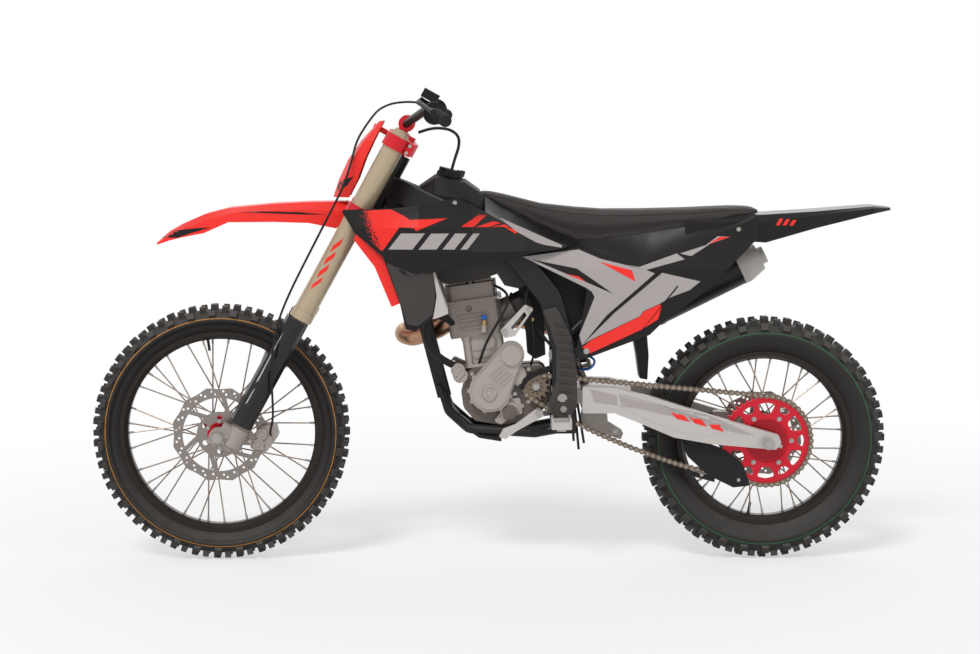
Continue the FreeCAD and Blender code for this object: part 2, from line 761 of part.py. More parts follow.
def clamp(level):
    spread = size("fork_spread")
    ahead = -size("clamp_offset")
    thick = size("clamp_thick")
    base = level - thick / 2
    pieces = []
    for side in (-1, 1):
        pieces.append(cyl(34, "Dims.clamp_thick", vec(ahead, side * spread, base), UP))
    pieces.append(plate("top", [(-26, -spread), (-6, -40), (-6, 40), (-26, spread), (4, spread),
                                (34, 30), (34, -30), (4, -spread)], "Dims.clamp_thick", level, 0))
    for side in (-1, 1):
        pieces.append(block(22, 26, "Dims.clamp_thick", vec(ahead + 37, side * spread, level)))
        for shift in (-0.25, 0.25):
            pieces.append(cyl(5, 34, vec(ahead + 40, side * spread - 17, level + shift * thick)))
    tools = []
    for side in (-1, 1):
        tools.append(cyl("Dims.outer_radius", thick + 2, vec(ahead, side * spread, base - 1), UP))
    tools.append(cyl("Dims.stem_radius", thick + 2, vec(0, 0, base - 1), UP))
    return cut(fuse(pieces), tools)


def clamps():
    low = clamp(size("low_clamp_level"))
    top = clamp(size("top_clamp_level"))
    base = size("low_clamp_level") - size("clamp_thick") / 2
    top_end = size("top_clamp_level") + size("clamp_thick") / 2 + 12
    stem = cyl("Dims.stem_radius", top_end - base, vec(0, 0, base), UP)
    nut = cyl(20, 12, vec(0, 0, size("top_clamp_level") + size("clamp_thick") / 2), UP)
    middle = vec(-size("clamp_offset"), 0, size("top_clamp_level") + size("bar_rise"))
    low_face = size("top_clamp_level") + size("clamp_thick") / 2
    mounts = []
    tools = []
    for side in (-1, 1):
        mounts.append(cyl(14, middle.z - low_face, vec(middle.x, side * 42, low_face), UP))
        mounts.append(cyl(22, 30, vec(middle.x, side * 42 - 15, middle.z)))
        tools.append(cyl("Dims.bar_radius", 40, vec(middle.x, side * 42 - 20, middle.z)))
    finish(cut(fuse([low, top, stem, nut] + mounts), tools), "fork_clamps", "steer")


def bar_points():
    middle = vec(-size("clamp_offset"), 0, size("top_clamp_level") + size("bar_rise"))
    x, z = middle.x, middle.z
    grip_in = in_steer(588, 0, 1214)
    grip_out = in_steer(612, 0, 1199)
    knee = in_steer(566, 0, 1226)
    return [
        vec(grip_out.x, -size("bar_half"), grip_out.z), vec(grip_in.x, -262, grip_in.z),
        vec(knee.x, -205, knee.z), vec(x, -70, z), vec(x, 70, z),
        vec(knee.x, 205, knee.z), vec(grip_in.x, 262, grip_in.z),
        vec(grip_out.x, size("bar_half"), grip_out.z),
    ]


def handlebar():
    points = bar_points()
    bar = swept(points[0:1] + points[2:6] + points[7:8], 45, "Dims.bar_radius")
    finish(bar, "handlebar", "steer")
    grips, controls = [], []
    for side in (-1, 1):
        knee = points[2] if side < 0 else points[5]
        end = points[0] if side < 0 else points[7]
        axis = end - knee
        axis.normalize()
        grip_start = end - axis * 128
        grip = cyl("Dims.grip_radius", 132, grip_start, axis)
        flange = cyl(30, 5, grip_start, axis)
        hole = cyl("Dims.bar_radius", 129, grip_start - axis * 1, axis)
        grips.append(cut(fuse([grip, flange]), [hole]))
        perch_at = end - axis * 178
        perch = cyl(17, 34, perch_at, axis)
        arm = cyl(7, 46, perch_at + axis * 17, vec(-0.94, 0, 0.1))
        reach = perch_at + axis * 17 + vec(-0.94, 0, 0.1) * 44
        lever = swept([reach, reach + axis * 50 + vec(-8, 0, 0), reach + axis * 165], 60, 5.5)
        bulb = cyl(8, 16, reach + axis * 160, axis)
        pieces = [perch, arm, lever, bulb]
        if side > 0:
            pieces.append(block(48, 46, 26, perch_at + axis * 10 + vec(-22, 0, 26)))
        hole = cyl("Dims.bar_radius", 60, perch_at - axis * 10, axis)
        controls.append(cut(fuse(pieces), [hole]))
    finish(group(grips), "grips", "steer")
    finish(group(controls), "hand_controls", "steer")


def number_plate():
    wall = size("panel_thick")
    sections = []
    for z, nose, edge, half in ((988, 309, 352, 62), (1035, 325, 376, 92), (1090, 351, 396, 100),
                                (1140, 386, 420, 88), (1190, 432, 446, 50)):
        shape = [(nose, -half * 0.45), (nose + (edge - nose) * 0.25, -half * 0.8), (edge, -half),
                 (edge + 1, wall - half), (nose + (edge - nose) * 0.25 + wall, wall - half * 0.8),
                 (nose + wall, -half * 0.45)]
        shape += [(x, -y) for x, y in reversed(shape)]
        sections.append(section("top", z, shape))
    bracket = block(92, 40, 14, steer_base + steer_back * -51 + steer_up * (size("top_clamp_level") + 8),
                    size("rake"))
    finish(fuse([loft(sections), bracket]), "number_plate")


def front_fender():
    wall = size("panel_thick")
    sections = []
    rows = ((-166, 26, 866, 863), (-130, 44, 898, 872), (-95, 54, 918, 881), (-35, 62, 945, 893),
            (30, 66, 961, 922),
            (150, 68, 973, 923), (245, 68, 978, 920), (318, 60, 980, 905), (346, 54, 978, 930))
    for x, half, crown, edge in rows:
        drop = max(crown - edge, 7)
        shape = [(-half, crown - drop), (-half * 0.92, crown - drop * 0.4),
                 (-half * 0.55, crown - drop * 0.06),
                 (half * 0.55, crown - drop * 0.06), (half * 0.92, crown - drop * 0.4), (half, crown - drop),
                 (half - wall, crown - drop), (half * 0.92 - wall, crown - drop * 0.4 - wall * 0.5),
                 (half * 0.55 - 1, crown - drop * 0.06 - wall), (1 - half * 0.55, crown - drop * 0.06 - wall),
                 (wall - half * 0.92, crown - drop * 0.4 - wall * 0.5), (wall - half, crown - drop)]
        sections.append(section("front", x, shape))
    tongue = block(72, 72, 20, steer_base + steer_back * -26 + steer_up * (size("low_clamp_level")
                   - size("clamp_thick") / 2 - 10), size("rake"))
    web = block(16, 60, 46, steer_base + steer_back * -58 + steer_up * (size("low_clamp_level") - 15),
                size("rake"))
    finish(fuse([loft(sections), tongue, web]), "front_fender")


def axles():
    reach = size("axle_reach")
    rod = cyl("Dims.axle_radius", 2 * reach, vec(0, -reach, 0))
    hole = cyl("Dims.axle_bore", 2 * reach + 2, vec(0, -reach - 1, 0))
    finish(cut(rod, [hole]), "front_axle", "front")
    reach = size("rear_axle_reach")
    rod = cyl("Dims.axle_radius", 2 * reach, vec(0, -reach, 0))
    hole = cyl("Dims.axle_bore", 2 * reach + 2, vec(0, -reach - 1, 0))
    finish(cut(rod, [hole]), "rear_axle", "rear")


def front_caliper():
    line = -size("disc_front_line")
    body = plate("side", [(84, -34), (128, -44), (160, 0), (152, 30), (116, 26), (86, -6)], 56, line - 2, 8)
    slot = cyl("Dims.disc_front + 4", 8, vec(0, line - 4, 0))
    window = plate("side", [(112, -18), (132, -24), (142, 4), (122, 10)], 30, line - 2, 4)
    parts = [cut(body, [slot, window])]
    for x, z in ((107, -22), (116, 6)):
        parts.append(cyl(15, 8, vec(x, line - 36, z)))
        parts.append(cyl(7, 10, vec(x, line - 38, z)))
    parts.append(plate("side", [(38, -22), (92, -26), (92, 8), (56, 44), (40, 40)], 12, line - 24, 4,
                       [(66, 8, 9)]))
    parts.append(cyl(6, 24, vec(84, line - 30, -14)))
    return finish(fuse(parts), "front_caliper", "front")


def rear_caliper():
    line = size("disc_rear_line")
    body = plate("side", [(-140, 6), (-88, -8), (-72, 30), (-92, 62), (-132, 62)], 46, line, 8)
    slot = cyl("Dims.disc_rear + 4", 8, vec(0, line - 4, 0))
    piston = cyl(16, 6, vec(-112, line + 22, 30))
    bracket = plate("side", [(-96, -8), (-96, 20), (-26, 18), (-20, -18), (-30, -20)], 8, line + 14, 5)
    hole = cyl("Dims.axle_radius", 40, vec(0, line - 10, 0))
    return finish(cut(fuse([cut(body, [slot]), piston, bracket]), [hole]), "rear_caliper", "rear")


def main_frame():
    head_low = size("low_clamp_level") + size("clamp_thick") / 2 + 8
    head_high = size("top_clamp_level") - size("clamp_thick") / 2 - 8
    low_at = steer_base + steer_up * head_low
    high_at = steer_base + steer_up * head_high
    head = between(low_at, high_at, "Dims.head_radius")
    bore = between(low_at - steer_up * 5, high_at + steer_up * 5, "Dims.stem_radius + Dims.turn_gap")
    line = size("spar_line")
    pieces = [head]
    neck = steer_base + steer_up * (head_low + 70) + steer_back * 10
    for side in (-1, 1):
        path = [vec(neck.x, side * 14, neck.z), vec(600, side * (line - 14), 952), vec(800, side * line, 838),
                vec(890, side * line, 720), vec(925, side * line, 590),
                vec(pivot_at.x + 6, side * line, pivot_at.z - 96)]
        pieces.append(swept(path, 50, 5, size("spar_thick"), 62))
        cradle = [vec(606, side * 20, 452), vec(618, side * 58, 412), vec(672, side * 64, 364),
                  vec(850, side * 64, 352), vec(pivot_at.x + 4, side * 64, pivot_at.z - 86)]
        pieces.append(swept(cradle, 22, 13))
    down = [vec(neck.x + 10, 0, neck.z - 20), vec(606, 0, 445)]
    pieces.append(swept(down, 10, 6, 36, 38))
    pieces.append(cyl(18, 2 * line - 14, vec(pivot_at.x - 12, -line + 7, pivot_at.z + 96)))
    pieces.append(cyl(17, 2 * line - 14, vec(862, -line + 7, 776)))
    pieces.append(block(82, 164, 8, vec(562, 0, 699)))
    pieces.append(cyl(6, 164, vec(508, -82, 888)))
    pieces.append(block(34, 32, 10, vec(494, 0, 888)))
    for side in (-1, 1):
        pieces.append(block(44, 18, 14, vec(964, side * 99, 572)))
        pieces.append(block(20, 30, 14, vec(976, side * 118, 572)))
    pieces.append(cyl(14, 2 * line - 14, vec(pivot_at.x + 4, -line + 7, pivot_at.z - 84)))
    hole = cyl("Dims.pivot_radius", 2 * line + 60, vec(pivot_at.x, -line - 30, pivot_at.z))
    return finish(cut(fuse(pieces), [bore, hole]), "main_frame")


def subframe():
    pieces = []
    for side in (-1, 1):
        top = [vec(848, side * 77, 800), vec(900, side * 66, 850), vec(1010, side * 62, 846),
               vec(1180, side * 66, 852), vec(1400, side * 52, 900)]
        low = [vec(932, side * 79, 612), vec(990, side * 64, 668), vec(1080, side * 62, 740),
               vec(1240, side * 60, 872)]
        pieces.append(swept(top, 60, 11))
        pieces.append(swept(low, 60, 9))
    pieces.append(cyl(9, 124, vec(1290, -62, 876)))
    pieces.append(cyl(9, 124, vec(1010, -62, 846)))
    for side in (-1, 1):
        pieces.append(cyl(7, 69, vec(1100, min(side * 62, side * 131), 790)))
    return finish(fuse(pieces), "subframe")


def swingarm():
    reach = size("wheelbase") - size("pivot_x")
    drop = size("rear_radius") - size("pivot_z")
    arms, pockets, blocks = [], [], []
    for side in (-1, 1):
        outline = [(54, 32), (140, 29), (260, -2), (400, -47), (reach + 28, -100), (reach + 36, -121),
                   (reach + 22, -140), (400, -124), (300, -106), (225, -74), (140, -40), (54, -40)]
        arms.append(plate("side", outline, 26, side * 102, 6))
        pockets.append(plate("side", [(150, 14), (262, -16), (396, -60), (452, -78), (440, -96), (396, -104),
                                      (306, -90), (234, -62), (160, -26)], 4, side * 114, 6))
        blocks.append(plate("side", [(reach - 22, drop + 14), (reach + 20, drop + 4), (reach + 20, drop - 18),
                                     (reach - 22, drop - 14)], 30, side * 102, 4))
        blocks.append(cyl(5, 26, vec(reach + 14, side * 102, drop - 6), vec(1, 0, -0.25)))
    cross = block(130, 178, 62, vec(120, 0, -5))
    inner = size("spar_line") - size("spar_thick") / 2
    barrel = cyl(22, 2 * inner, vec(0, -inner, 0))
    tie = block(90, 2 * inner - 6, 36, vec(40, 0, 0))
    relief = cyl(size("rear_radius") + 16, 2 * size("rear_tyre_half") + 16,
                 vec(reach, -size("rear_tyre_half") - 8, drop))
    hole = cyl("Dims.pivot_radius", 300, vec(0, -150, 0))
    axle = cyl("Dims.axle_radius", 300, vec(reach, -150, drop))
    arm = cut(fuse(arms + [cross, barrel, tie]), [hole, relief] + pockets)
    return finish(cut(fuse([arm] + blocks), [axle]), "swingarm", "pivot")


def pivot_bolt():
    line = size("spar_line") + size("spar_thick") / 2 + 3
    rod = cyl("Dims.pivot_radius", 2 * line, vec(0, -line, 0))
    return finish(rod, "pivot_bolt", "pivot")


# The band that two circles make with their common tangents.
def tear(first, low, second, high, thick, offset):
    away = vec(second[0] - first[0], 0, second[1] - first[1])
    slope = math.atan2(away.z, away.x)
    open_turn = math.acos((low - high) / away.Length)
    corners = []
    for centre, radius, turn in ((first, low, open_turn), (second, high, open_turn),
                                 (second, high, -open_turn), (first, low, -open_turn)):
        corners.append((centre[0] + math.cos(slope + turn) * radius,
                        centre[1] + math.sin(slope + turn) * radius))
    ends = [cyl(radius, thick, vec(centre[0], offset - thick / 2, centre[1]))
            for centre, radius in ((first, low), (second, high))]
    return fuse([plate("side", corners, thick, offset)] + ends)


def engine():
    outline = [(-75, -10), (-58, 52), (-40, 62), (74, 62), (140, 66), (158, 30), (156, -40), (120, -80),
               (30, -96), (-40, -84), (-70, -50)]
    case = plate("side", outline, "Dims.case_width", 0, 14)
    seam = plate("side", [(x * 1.03, z * 1.04) for x, z in outline], 7, 0, 14)
    mount = plate("side", [(-112, 62), (-96, 84), (-46, 60), (-66, 26)], 34, 0, 7, [(-99, 69, 5.5)])
    gallery = cyl(15, 70, vec(-72, -56, 38))
    drain = cyl(11, 8, vec(30, 0, -102), UP)
    finish(fuse([case, seam, mount, gallery, drain]), "crankcase", "crank")
    barrel = plate("top", [(-52, -50), (44, -50), (54, -36), (56, 46), (38, 56), (-44, 56), (-56, 38)], 84,
                   108, 8)
    parts = [barrel, plate("top", [(-58, -60), (60, -60), (60, 60), (-58, 60)], 8, 70, 10)]
    for x, y in ((-44, -50), (42, -50), (-44, 50), (42, 50)):
        parts.append(cyl(11, 84, vec(x, y, 66), UP))
        parts.append(cone(11, 15, 14, vec(x, y, 136), UP))
    for level in (92, 112):
        parts.append(plate("top", [(-30, -54), (26, -54), (26, 54), (-30, 54)], 4, level, 2))
    finish(fuse(parts), "cylinder", "cylinder")
    head = plate("top", [(-84, -60), (48, -60), (60, -40), (62, 54), (46, 64), (-70, 64), (-88, 40)], 100,
                 200, 9)
    parts = [head]
    for level in (172, 184, 196, 208):
        parts.append(plate("top", [(-60, -64), (24, -64), (24, -50), (-60, -50)], 4, level, 1))
    parts.append(plate("top", [(-92, -64), (66, -64), (66, 68), (-92, 68)], 7, 246, 12))
    parts.append(cyl(32, 44, vec(50, 0, 196), vec(1, 0, 0.35)))
    well = cyl(9, 14, vec(-26, -64, 226))
    finish(cut(fuse(parts), [well]), "cylinder_head", "cylinder")
    cover = plate("top", [(-78, -54), (50, -54), (58, 56), (-84, 58)], 40, 270, 14)
    humps = [plate("front", [(-50, 288), (-42, 304), (44, 304), (52, 288)], 46, x, 8) for x in (-48, 22)]
    bolts = [cyl(8, 10, vec(x, y, 288), UP) for x in (-13,) for y in (-38, 40)]
    plug = cyl(15, 22, vec(-13, 2, 288), UP)
    finish(fuse([cover, plug] + humps + bolts), "head_cover", "cylinder")
    left_covers()


def left_covers():
    left = -size("case_width") / 2
    small = (57, 98)
    skirt = tear((0, 0), 56, small, 35, 24, left - 12)
    body = tear((0, 0), 49, small, 30, 14, left - 31)
    parts = [skirt, body, cyl(56, 10, vec(0, left - 34, 0)), cyl(17.5, 6, vec(0, left - 44, 0)),
             cyl(27, 8, vec(small[0], left - 46, small[1]))]
    tools = [cyl(12, 4, vec(0, left - 45, 0)), cyl(5, 10, vec(0, left - 46, 0))]
    for index in range(5):
        parts.append(block(44, 4, 3, vec(14 + index * 8, left - 38.5, 56 - index * 7), -42))
    for index in range(13):
        turn = math.radians(-165 + index * 12)
        spot = vec(math.cos(turn) * 38, left - 44, math.sin(turn) * 38)
        tools.append(block(16, 4, 1.8, spot, -math.degrees(turn)))
    flange_bolts = []
    for angle in (-150, -105, -60, -15, 100, 140, 180):
        spot = vec(math.cos(math.radians(angle)) * 56, left - 28, math.sin(math.radians(angle)) * 56)
        flange_bolts.append(cyl(6, 22, spot))
    cap = [cyl(20, 34, vec(-80, left - 14, 40)), block(30, 6, 7, vec(-80, left - 16, 40), -50)]
    rear = [plate("side", [(56, -22), (80, -20), (88, -62), (60, -72), (30, -92), (10, -84)], 20, left - 6,
                  6),
            cyl(24, 12, vec(52, left - 26, -54))]
    cover = cut(fuse(parts + flange_bolts + rear), tools)
    right = -left
    clutch = turned_shell(58, 30, vec(60, right, -6))
    pump = turned_shell(26, 34, vec(-22, right, 20))
    spigot = cyl(9, 34, vec(-22, right + 22, 20), vec(-0.6, 0, 0.8))
    kick = plate("side", [(-60, -30), (-10, -72), (60, -70), (120, -40), (130, 20), (90, 52), (0, 60),
                          (-50, 40)], 16,
                 right + 8, 12)
    oil = cyl(22, 26, vec(-30, right, -36))
    finish(group([cover, fuse(cap), fuse([kick, clutch, pump, spigot, oil])]), "engine_covers", "crank")


def turned_shell(radius, height, at):
    ring = cyl(radius, height - 6, at)
    dome = cone(radius - 2, radius - 12, 6, at + vec(0, height - 6, 0))
    return fuse([ring, dome])


def engine_mounts():
    stays = []
    for side in (-1, 1):
        stay = plate("side", [(756, 632), (822, 702), (846, 692), (796, 618), (768, 612)], 8, side * 84, 5)
        window = plate("side", [(784, 640), (821, 684), (827, 673), (796, 632)], 20, side * 84, 3)
        foot = cyl(8, 34, vec(768, min(side * 54, side * 88), 630))
        bolt = cyl(7, 30, vec(834, min(side * 78, side * 108), 690))
        stays.append(fuse([cut(stay, [window]), foot, bolt]))
    finish(group(stays), "engine_stays")


def throttle():
    axis = vec(1, 0, 0.35)
    axis.normalize()
    start = vec(50, 0, 196) + axis * 44
    slope = -math.degrees(math.atan2(axis.z, axis.x))
    body = [cyl(30, 40, start, axis), cyl(34, 8, start + axis * 8, axis),
            cone(33, 38, 12, start + axis * 38, axis),
            block(26, 92, 34, start + axis * 20, slope)]
    finish(fuse(body), "throttle_body", "cylinder")


def exhaust():
    start = vec(1147, 110, 654)
    axis = vec(0.896, 0, 0.443)
    path = [vec(640, 14, 660), vec(590, 42, 622), vec(520, 58, 598), vec(478, 96, 604), vec(530, 142, 622),
            vec(650, 150, 636), vec(820, 154, 636), vec(930, 152, 610), vec(1020, 104, 600),
            start - axis * 40]
    flange = cyl(36, 12, vec(634, 16, 656), vec(-0.78, 0.4, -0.5))
    finish(fuse([swept(path, 32, "Dims.header_radius"), flange]), "header_pipe")
    can = cyl(50, 300, start, axis)
    front = cone(26, 50, 40, start - axis * 40, axis)
    band = cyl(51.5, 14, start + axis * 40, axis)
    cap = cone(51.5, 38, 46, start + axis * 318, axis)
    rim_band = cyl(51.5, 20, start + axis * 298, axis)
    spout = cyl(24, 30, start + axis * 350, axis)
    hole = cyl(20, 60, start + axis * 336, axis)
    finish(cut(fuse([can, front, band, cap, rim_band, spout]), [hole]), "silencer")
    carve(named("header_pipe"), [named("cylinder_head"), named("cylinder"), named("silencer")])


def radiators():
    both, guards = [], []
    for side in (-1, 1):
        shape = [(500, 905), (532, 917), (612, 690), (580, 679)]
        core = plate("side", shape, 78, side * 132, 4)
        tanks = []
        for middle in (88, 176):
            tanks.append(plate("side", [(494, 909), (536, 924), (619, 688), (577, 672)], 12, side * middle,
                               6))
        fins = []
        for index in range(14):
            share = (index + 0.5) / 14
            spot = vec(500 + 80 * share - 2, side * 132, 905 - 226 * share)
            fins.append(block(6, 76, 2, spot, 19))
        stub = cyl(8, 22, vec(530, min(side * 180, side * 202), 860))
        pieces = [core, stub] + tanks + fins
        if side < 0:
            pieces.append(cyl(16, 24, vec(516, -132, 908), vec(-0.33, 0, 0.94)))
        both.append(fuse(pieces))
        wall = plate("side", [(369, 884), (378, 900), (446, 858), (492, 716), (468, 706), (424, 812)], 4,
                     side * 180, 3)
        slats = []
        for index in range(9):
            share = (index + 1) / 10
            slats.append(block(18, 72, 3, vec(484 + 66 * share, side * 146, 862 - 166 * share), -20))
        rails = []
        for middle in (114, 178):
            rails.append(plate("side", [(478, 862), (491, 866), (560, 680), (546, 675)], 6, side * middle))
        guards.append(fuse([wall] + rails + slats))
    finish(group(both), "radiators")
    finish(group(guards), "radiator_guards")
    carve(named("radiator_guards"), [named("radiators")])


def tank():
    rows = ((492, 26, 930, 900), (540, 62, 1018, 872), (584, 74, 1048, 862), (664, 74, 1034, 852),
            (700, 70, 1008, 850), (756, 62, 958, 850), (860, 50, 896, 852))
    sections = []
    for x, half, top, low in rows:
        rise = top - low
        shape = [(-half, low + rise * 0.2), (-half, low + rise * 0.72), (-half * 0.66, top - rise * 0.04),
                 (-half * 0.3, top), (half * 0.3, top), (half * 0.66, top - rise * 0.04),
                 (half, low + rise * 0.72), (half, low + rise * 0.2), (half * 0.8, low), (-half * 0.8, low)]
        sections.append(section("front", x, shape))
    finish(loft(sections), "fuel_tank")
    tilt = vec(math.sin(math.radians(15)), 0, math.cos(math.radians(15)))
    cap = cyl(34, 20, vec(622, 0, 1041), tilt)
    lobes = []
    for index in range(8):
        turn = math.pi / 4 * index
        lobes.append(cyl(7, 16, vec(622, 0, 1041) + vec(math.cos(turn) * 31, math.sin(turn) * 31, 0), tilt))
    finish(fuse([cap] + lobes), "fuel_cap")


def seat():
    height = size("seat_height")
    half = size("seat_half")
    rows = ((700, 0.5, 1006, 994), (760, 0.62, 994, 958), (867, 0.78, 967, 906), (961, 0.9, 957, 866),
            (1030, 0.96, height, 870), (1135, 1.0, height, 884), (1260, 1.0, 955, 905),
            (1373, 0.94, 960, 928), (1452, 0.8, 958, 944))
    sections = []
    for x, share, top, low in rows:
        wide = half * share
        thick = top - low
        shape = [(-wide * 0.92, low), (-wide, low + thick * 0.55), (-wide * 0.86, top - thick * 0.1),
                 (-wide * 0.5, top), (wide * 0.5, top), (wide * 0.86, top - thick * 0.1),
                 (wide, low + thick * 0.55), (wide * 0.92, low)]
        sections.append(section("front", x, shape))
    finish(loft(sections), "seat")


def panels():
    wall = size("panel_thick")
    shrouds, sides = [], []
    levels = [620, 760, 850, 915, 960, 1010]
    stations = [
        (320, [176, 172, 174, 176, 166, 156]), (430, [190, 192, 196, 192, 180, 164]),
        (540, [190, 194, 208, 198, 178, 150]), (680, [170, 172, 190, 174, 150, 118]),
        (820, [130, 128, 146, 130, 108, 90]), (975, [110, 104, 116, 104, 92, 84]),
    ]
    lower = [(x, [reach - wall for reach in reaches]) for x, reaches in stations]
    for side in (-1, 1):
        outline = [(335, 961), (372, 902), (450, 836), (505, 790), (600, 800), (703, 823), (803, 838),
                   (955, 860),
                   (800, 905), (690, 968), (640, 990), (560, 975), (470, 965)]
        fin = [(438, 862), (491, 712), (505, 648, 8), (530, 640, 8), (594, 691), (577, 800), (570, 830)]
        main = common(plate("side", outline, 260, side * 160, 6), skin(levels, stations, wall, side))
        below = common(plate("side", fin, 260, side * 160, 4), skin(levels, lower, wall, side))
        shrouds.append(fuse([main, below]))
        outline = [(812, 834), (963, 858), (1125, 812), (1226, 846), (1445, 940), (1440, 880), (1304, 745),
                   (1190, 663), (1153, 626), (970, 556), (956, 574), (986, 746)]
        if side > 0:
            outline[-3:] = [(1040, 640), (1004, 690), (986, 746)]
        bend = skin([540, 680, 800, 880, 960], [
            (800, [126, 124, 120, 108, 98]), (960, [130, 130, 124, 104, 92]),
            (1120, [134, 140, 134, 110, 94]), (1290, [136, 146, 140, 114, 96]),
            (1460, [130, 140, 134, 110, 96]),
        ], wall, side)
        cover = common(plate("side", outline, 260, side * 150, 6), bend)
        if side > 0:
            axis = vec(0.896, 0, 0.443)
            cover = cut(cover, [cyl(57, 460, vec(1147, 110, 654) - axis * 60, axis)])
        sides.append(cover)
    finish(group(shrouds), "radiator_shrouds")
    finish(group(sides), "side_panels")


def rear_fender():
    wall = size("panel_thick")
    rows = ((1250, 84, 936, 880), (1466, 88, 942, 868), (1600, 84, 950, 906), (1760, 66, 963, 944),
            (1806, 44, 959, 952))
    sections = []
    for x, half, crown, edge in rows:
        drop = crown - edge
        shape = [(-half, crown - drop), (-half * 0.96, crown - drop * 0.25), (-half * 0.8, crown),
                 (half * 0.8, crown), (half * 0.96, crown - drop * 0.25), (half, crown - drop),
                 (half - wall, crown - drop), (half * 0.96 - wall, crown - drop * 0.25 - 1),
                 (half * 0.8 - 2, crown - wall), (2 - half * 0.8, crown - wall),
                 (wall - half * 0.96, crown - drop * 0.25 - 1), (wall - half, crown - drop)]
        sections.append(section("front", x, shape))
    finish(loft(sections), "rear_fender")


# A coil spring: a round wire along a helix about the axis.
def coil(start, axis, radius, wire, pitch, length):
    turns = doc.addObject("Part::Helix", "Helix")
    turns.Pitch = pitch
    turns.Height = length
    turns.Radius = radius
    profile = doc.addObject("Part::Circle", "Wire")
    profile.Radius = wire
    profile.Placement = FreeCAD.Placement(vec(radius, 0, 0), FreeCAD.Rotation(vec(1, 0, 0), 90))
    thing = doc.addObject("Part::Sweep", "Coil")
    thing.Sections = [profile]
    thing.Spine = (turns, ["Edge1"])
    thing.Solid = True
    thing.Frenet = True
    thing.Placement = FreeCAD.Placement(start, turned(axis))
    return thing


def small_parts():
    flap = plate("side", [(1098, 706), (1126, 560), (1135, 496), (1156, 492), (1159, 558), (1152, 640),
                          (1136, 736)], 70, 0, 2)
    finish(flap, "mud_flap")
    foot = vec(992, 0, 470)
    top = vec(870, 0, 772)
    axis = top - foot
    axis.normalize()
    box = plate("side", [(900, 850), (1110, 850), (1180, 790), (1110, 700), (1012, 690), (990, 760),
                         (900, 790)], 98, 0, 10)
    finish(cut(box, [between(foot, top + axis * 60, 40)]), "airbox")
    damper = [between(foot, top, 11), cyl(19, 150, foot + axis * 100, axis),
              cyl(24, 60, top - axis * 74, axis)]
    collars = [cyl(36, 8, foot + axis * 48, axis), cyl(36, 10, foot + axis * 242, axis)]
    spring = coil(foot + axis * 62.1, axis, 31, 6, 26.7, 173.8)
    finish(group([fuse(damper + collars), spring]), "shock_absorber")
    link = plate("side", [(984, 416), (1046, 416), (1050, 372), (1092, 346), (1085, 328), (1000, 356),
                          (975, 374)], 60, 0, 4)
    finish(link, "shock_linkage")
    shape = [(1240, 352), (1366, 305), (1413, 265), (1432, 210), (1386, 205), (1315, 240), (1262, 290)]
    line = -size("chain_line")
    sides = [plate("side", shape, 4, line - 13, 6), plate("side", shape, 4, line + 13, 6)]
    drop = size("plate_height") / 2 + 0.8
    run = [(spot.x, spot.z - drop) for spot in chain_rollers()[3] if 1262 < spot.x < 1336]
    rub = plate("side", run + [(x, z - 12) for x, z in reversed(run)], 28, line)
    lug = plate("side", [(1256, 362), (1290, 350), (1290, 320), (1256, 330)], 14, line - 22, 2)
    finish(fuse(sides + [rub, lug]), "chain_guide")
    skid = plate("side", [(586, 476), (594, 480), (616, 430), (652, 388), (704, 348), (760, 338), (760, 330),
                          (700, 340), (640, 380),
                          (604, 420)], 150, 0, 0)
    ribs = []
    for index in range(9):
        share = index / 8
        spot = vec(612 + 82 * share, 0, 420 - 66 * share - 20 * share * (1 - share))
        ribs.append(block(5, 150, 5, spot, 40))
    finish(fuse([skid] + ribs), "skid_guard")
    guards = []
    for side in (-1, 1):
        outline = [(868, 690), (905, 700), (945, 620), (962, 520), (962, 430), (935, 395), (895, 405),
                   (885, 440),
                   (905, 500), (905, 590), (885, 650)]
        ribs = []
        for index in range(9):
            middle = vec(925 + index * 2 - (index - 4) ** 2 * 0.6, side * 117, 650 - index * 22)
            ribs.append(block(46 - abs(index - 4) * 3, 3, 4, middle, 8))
        ribs.append(cyl(26, 8, vec(926, side * 116 - 4, 424)))
        guards.append(fuse([plate("side", outline, 5, side * 113, 6)] + ribs))
    finish(group(guards), "frame_guards")
    pegs = []
    for side in (-1, 1):
        arm = block(24, 80, 26, vec(918, side * 128, 384))
        half = size("peg_length") / 2
        rim_frame = plate("top", [(889, side * 196 - half), (943, side * 196 - half),
                                  (943, side * 196 + half),
                                  (889, side * 196 + half)], 20, 396, 5)
        hollow = plate("top", [(896, side * 196 - half + 7), (936, side * 196 - half + 7),
                               (936, side * 196 + half - 7), (896, side * 196 + half - 7)], 24, 396, 4)
        teeth = []
        for index in range(8):
            across = side * 196 - half + 4 + index * (2 * half - 8) / 7
            for x in (892.5, 939.5):
                teeth.append(block(5, 4, 12, vec(x, across, 408)))
        bar = block(44, 6, 16, vec(916, side * 196, 396))
        pegs.append(fuse([cut(rim_frame, [hollow]), bar, arm] + teeth))
    finish(group(pegs), "footpegs")
    shift = plate("side", [(868, 420), (872, 406), (800, 366), (770, 344), (752, 350), (764, 372),
                           (796, 384), (850, 424)],
                  10, -118, 3)
    shaft = cyl(8, 118 - size("case_width") / 2, vec(860, -118, 414))
    finish(fuse([shift, shaft]), "shift_lever")
    brake = plate("side", [(918, 392), (918, 376), (770, 356), (700, 372), (700, 386), (770, 370)], 12, 118,
                  3)
    finish(brake, "brake_pedal")


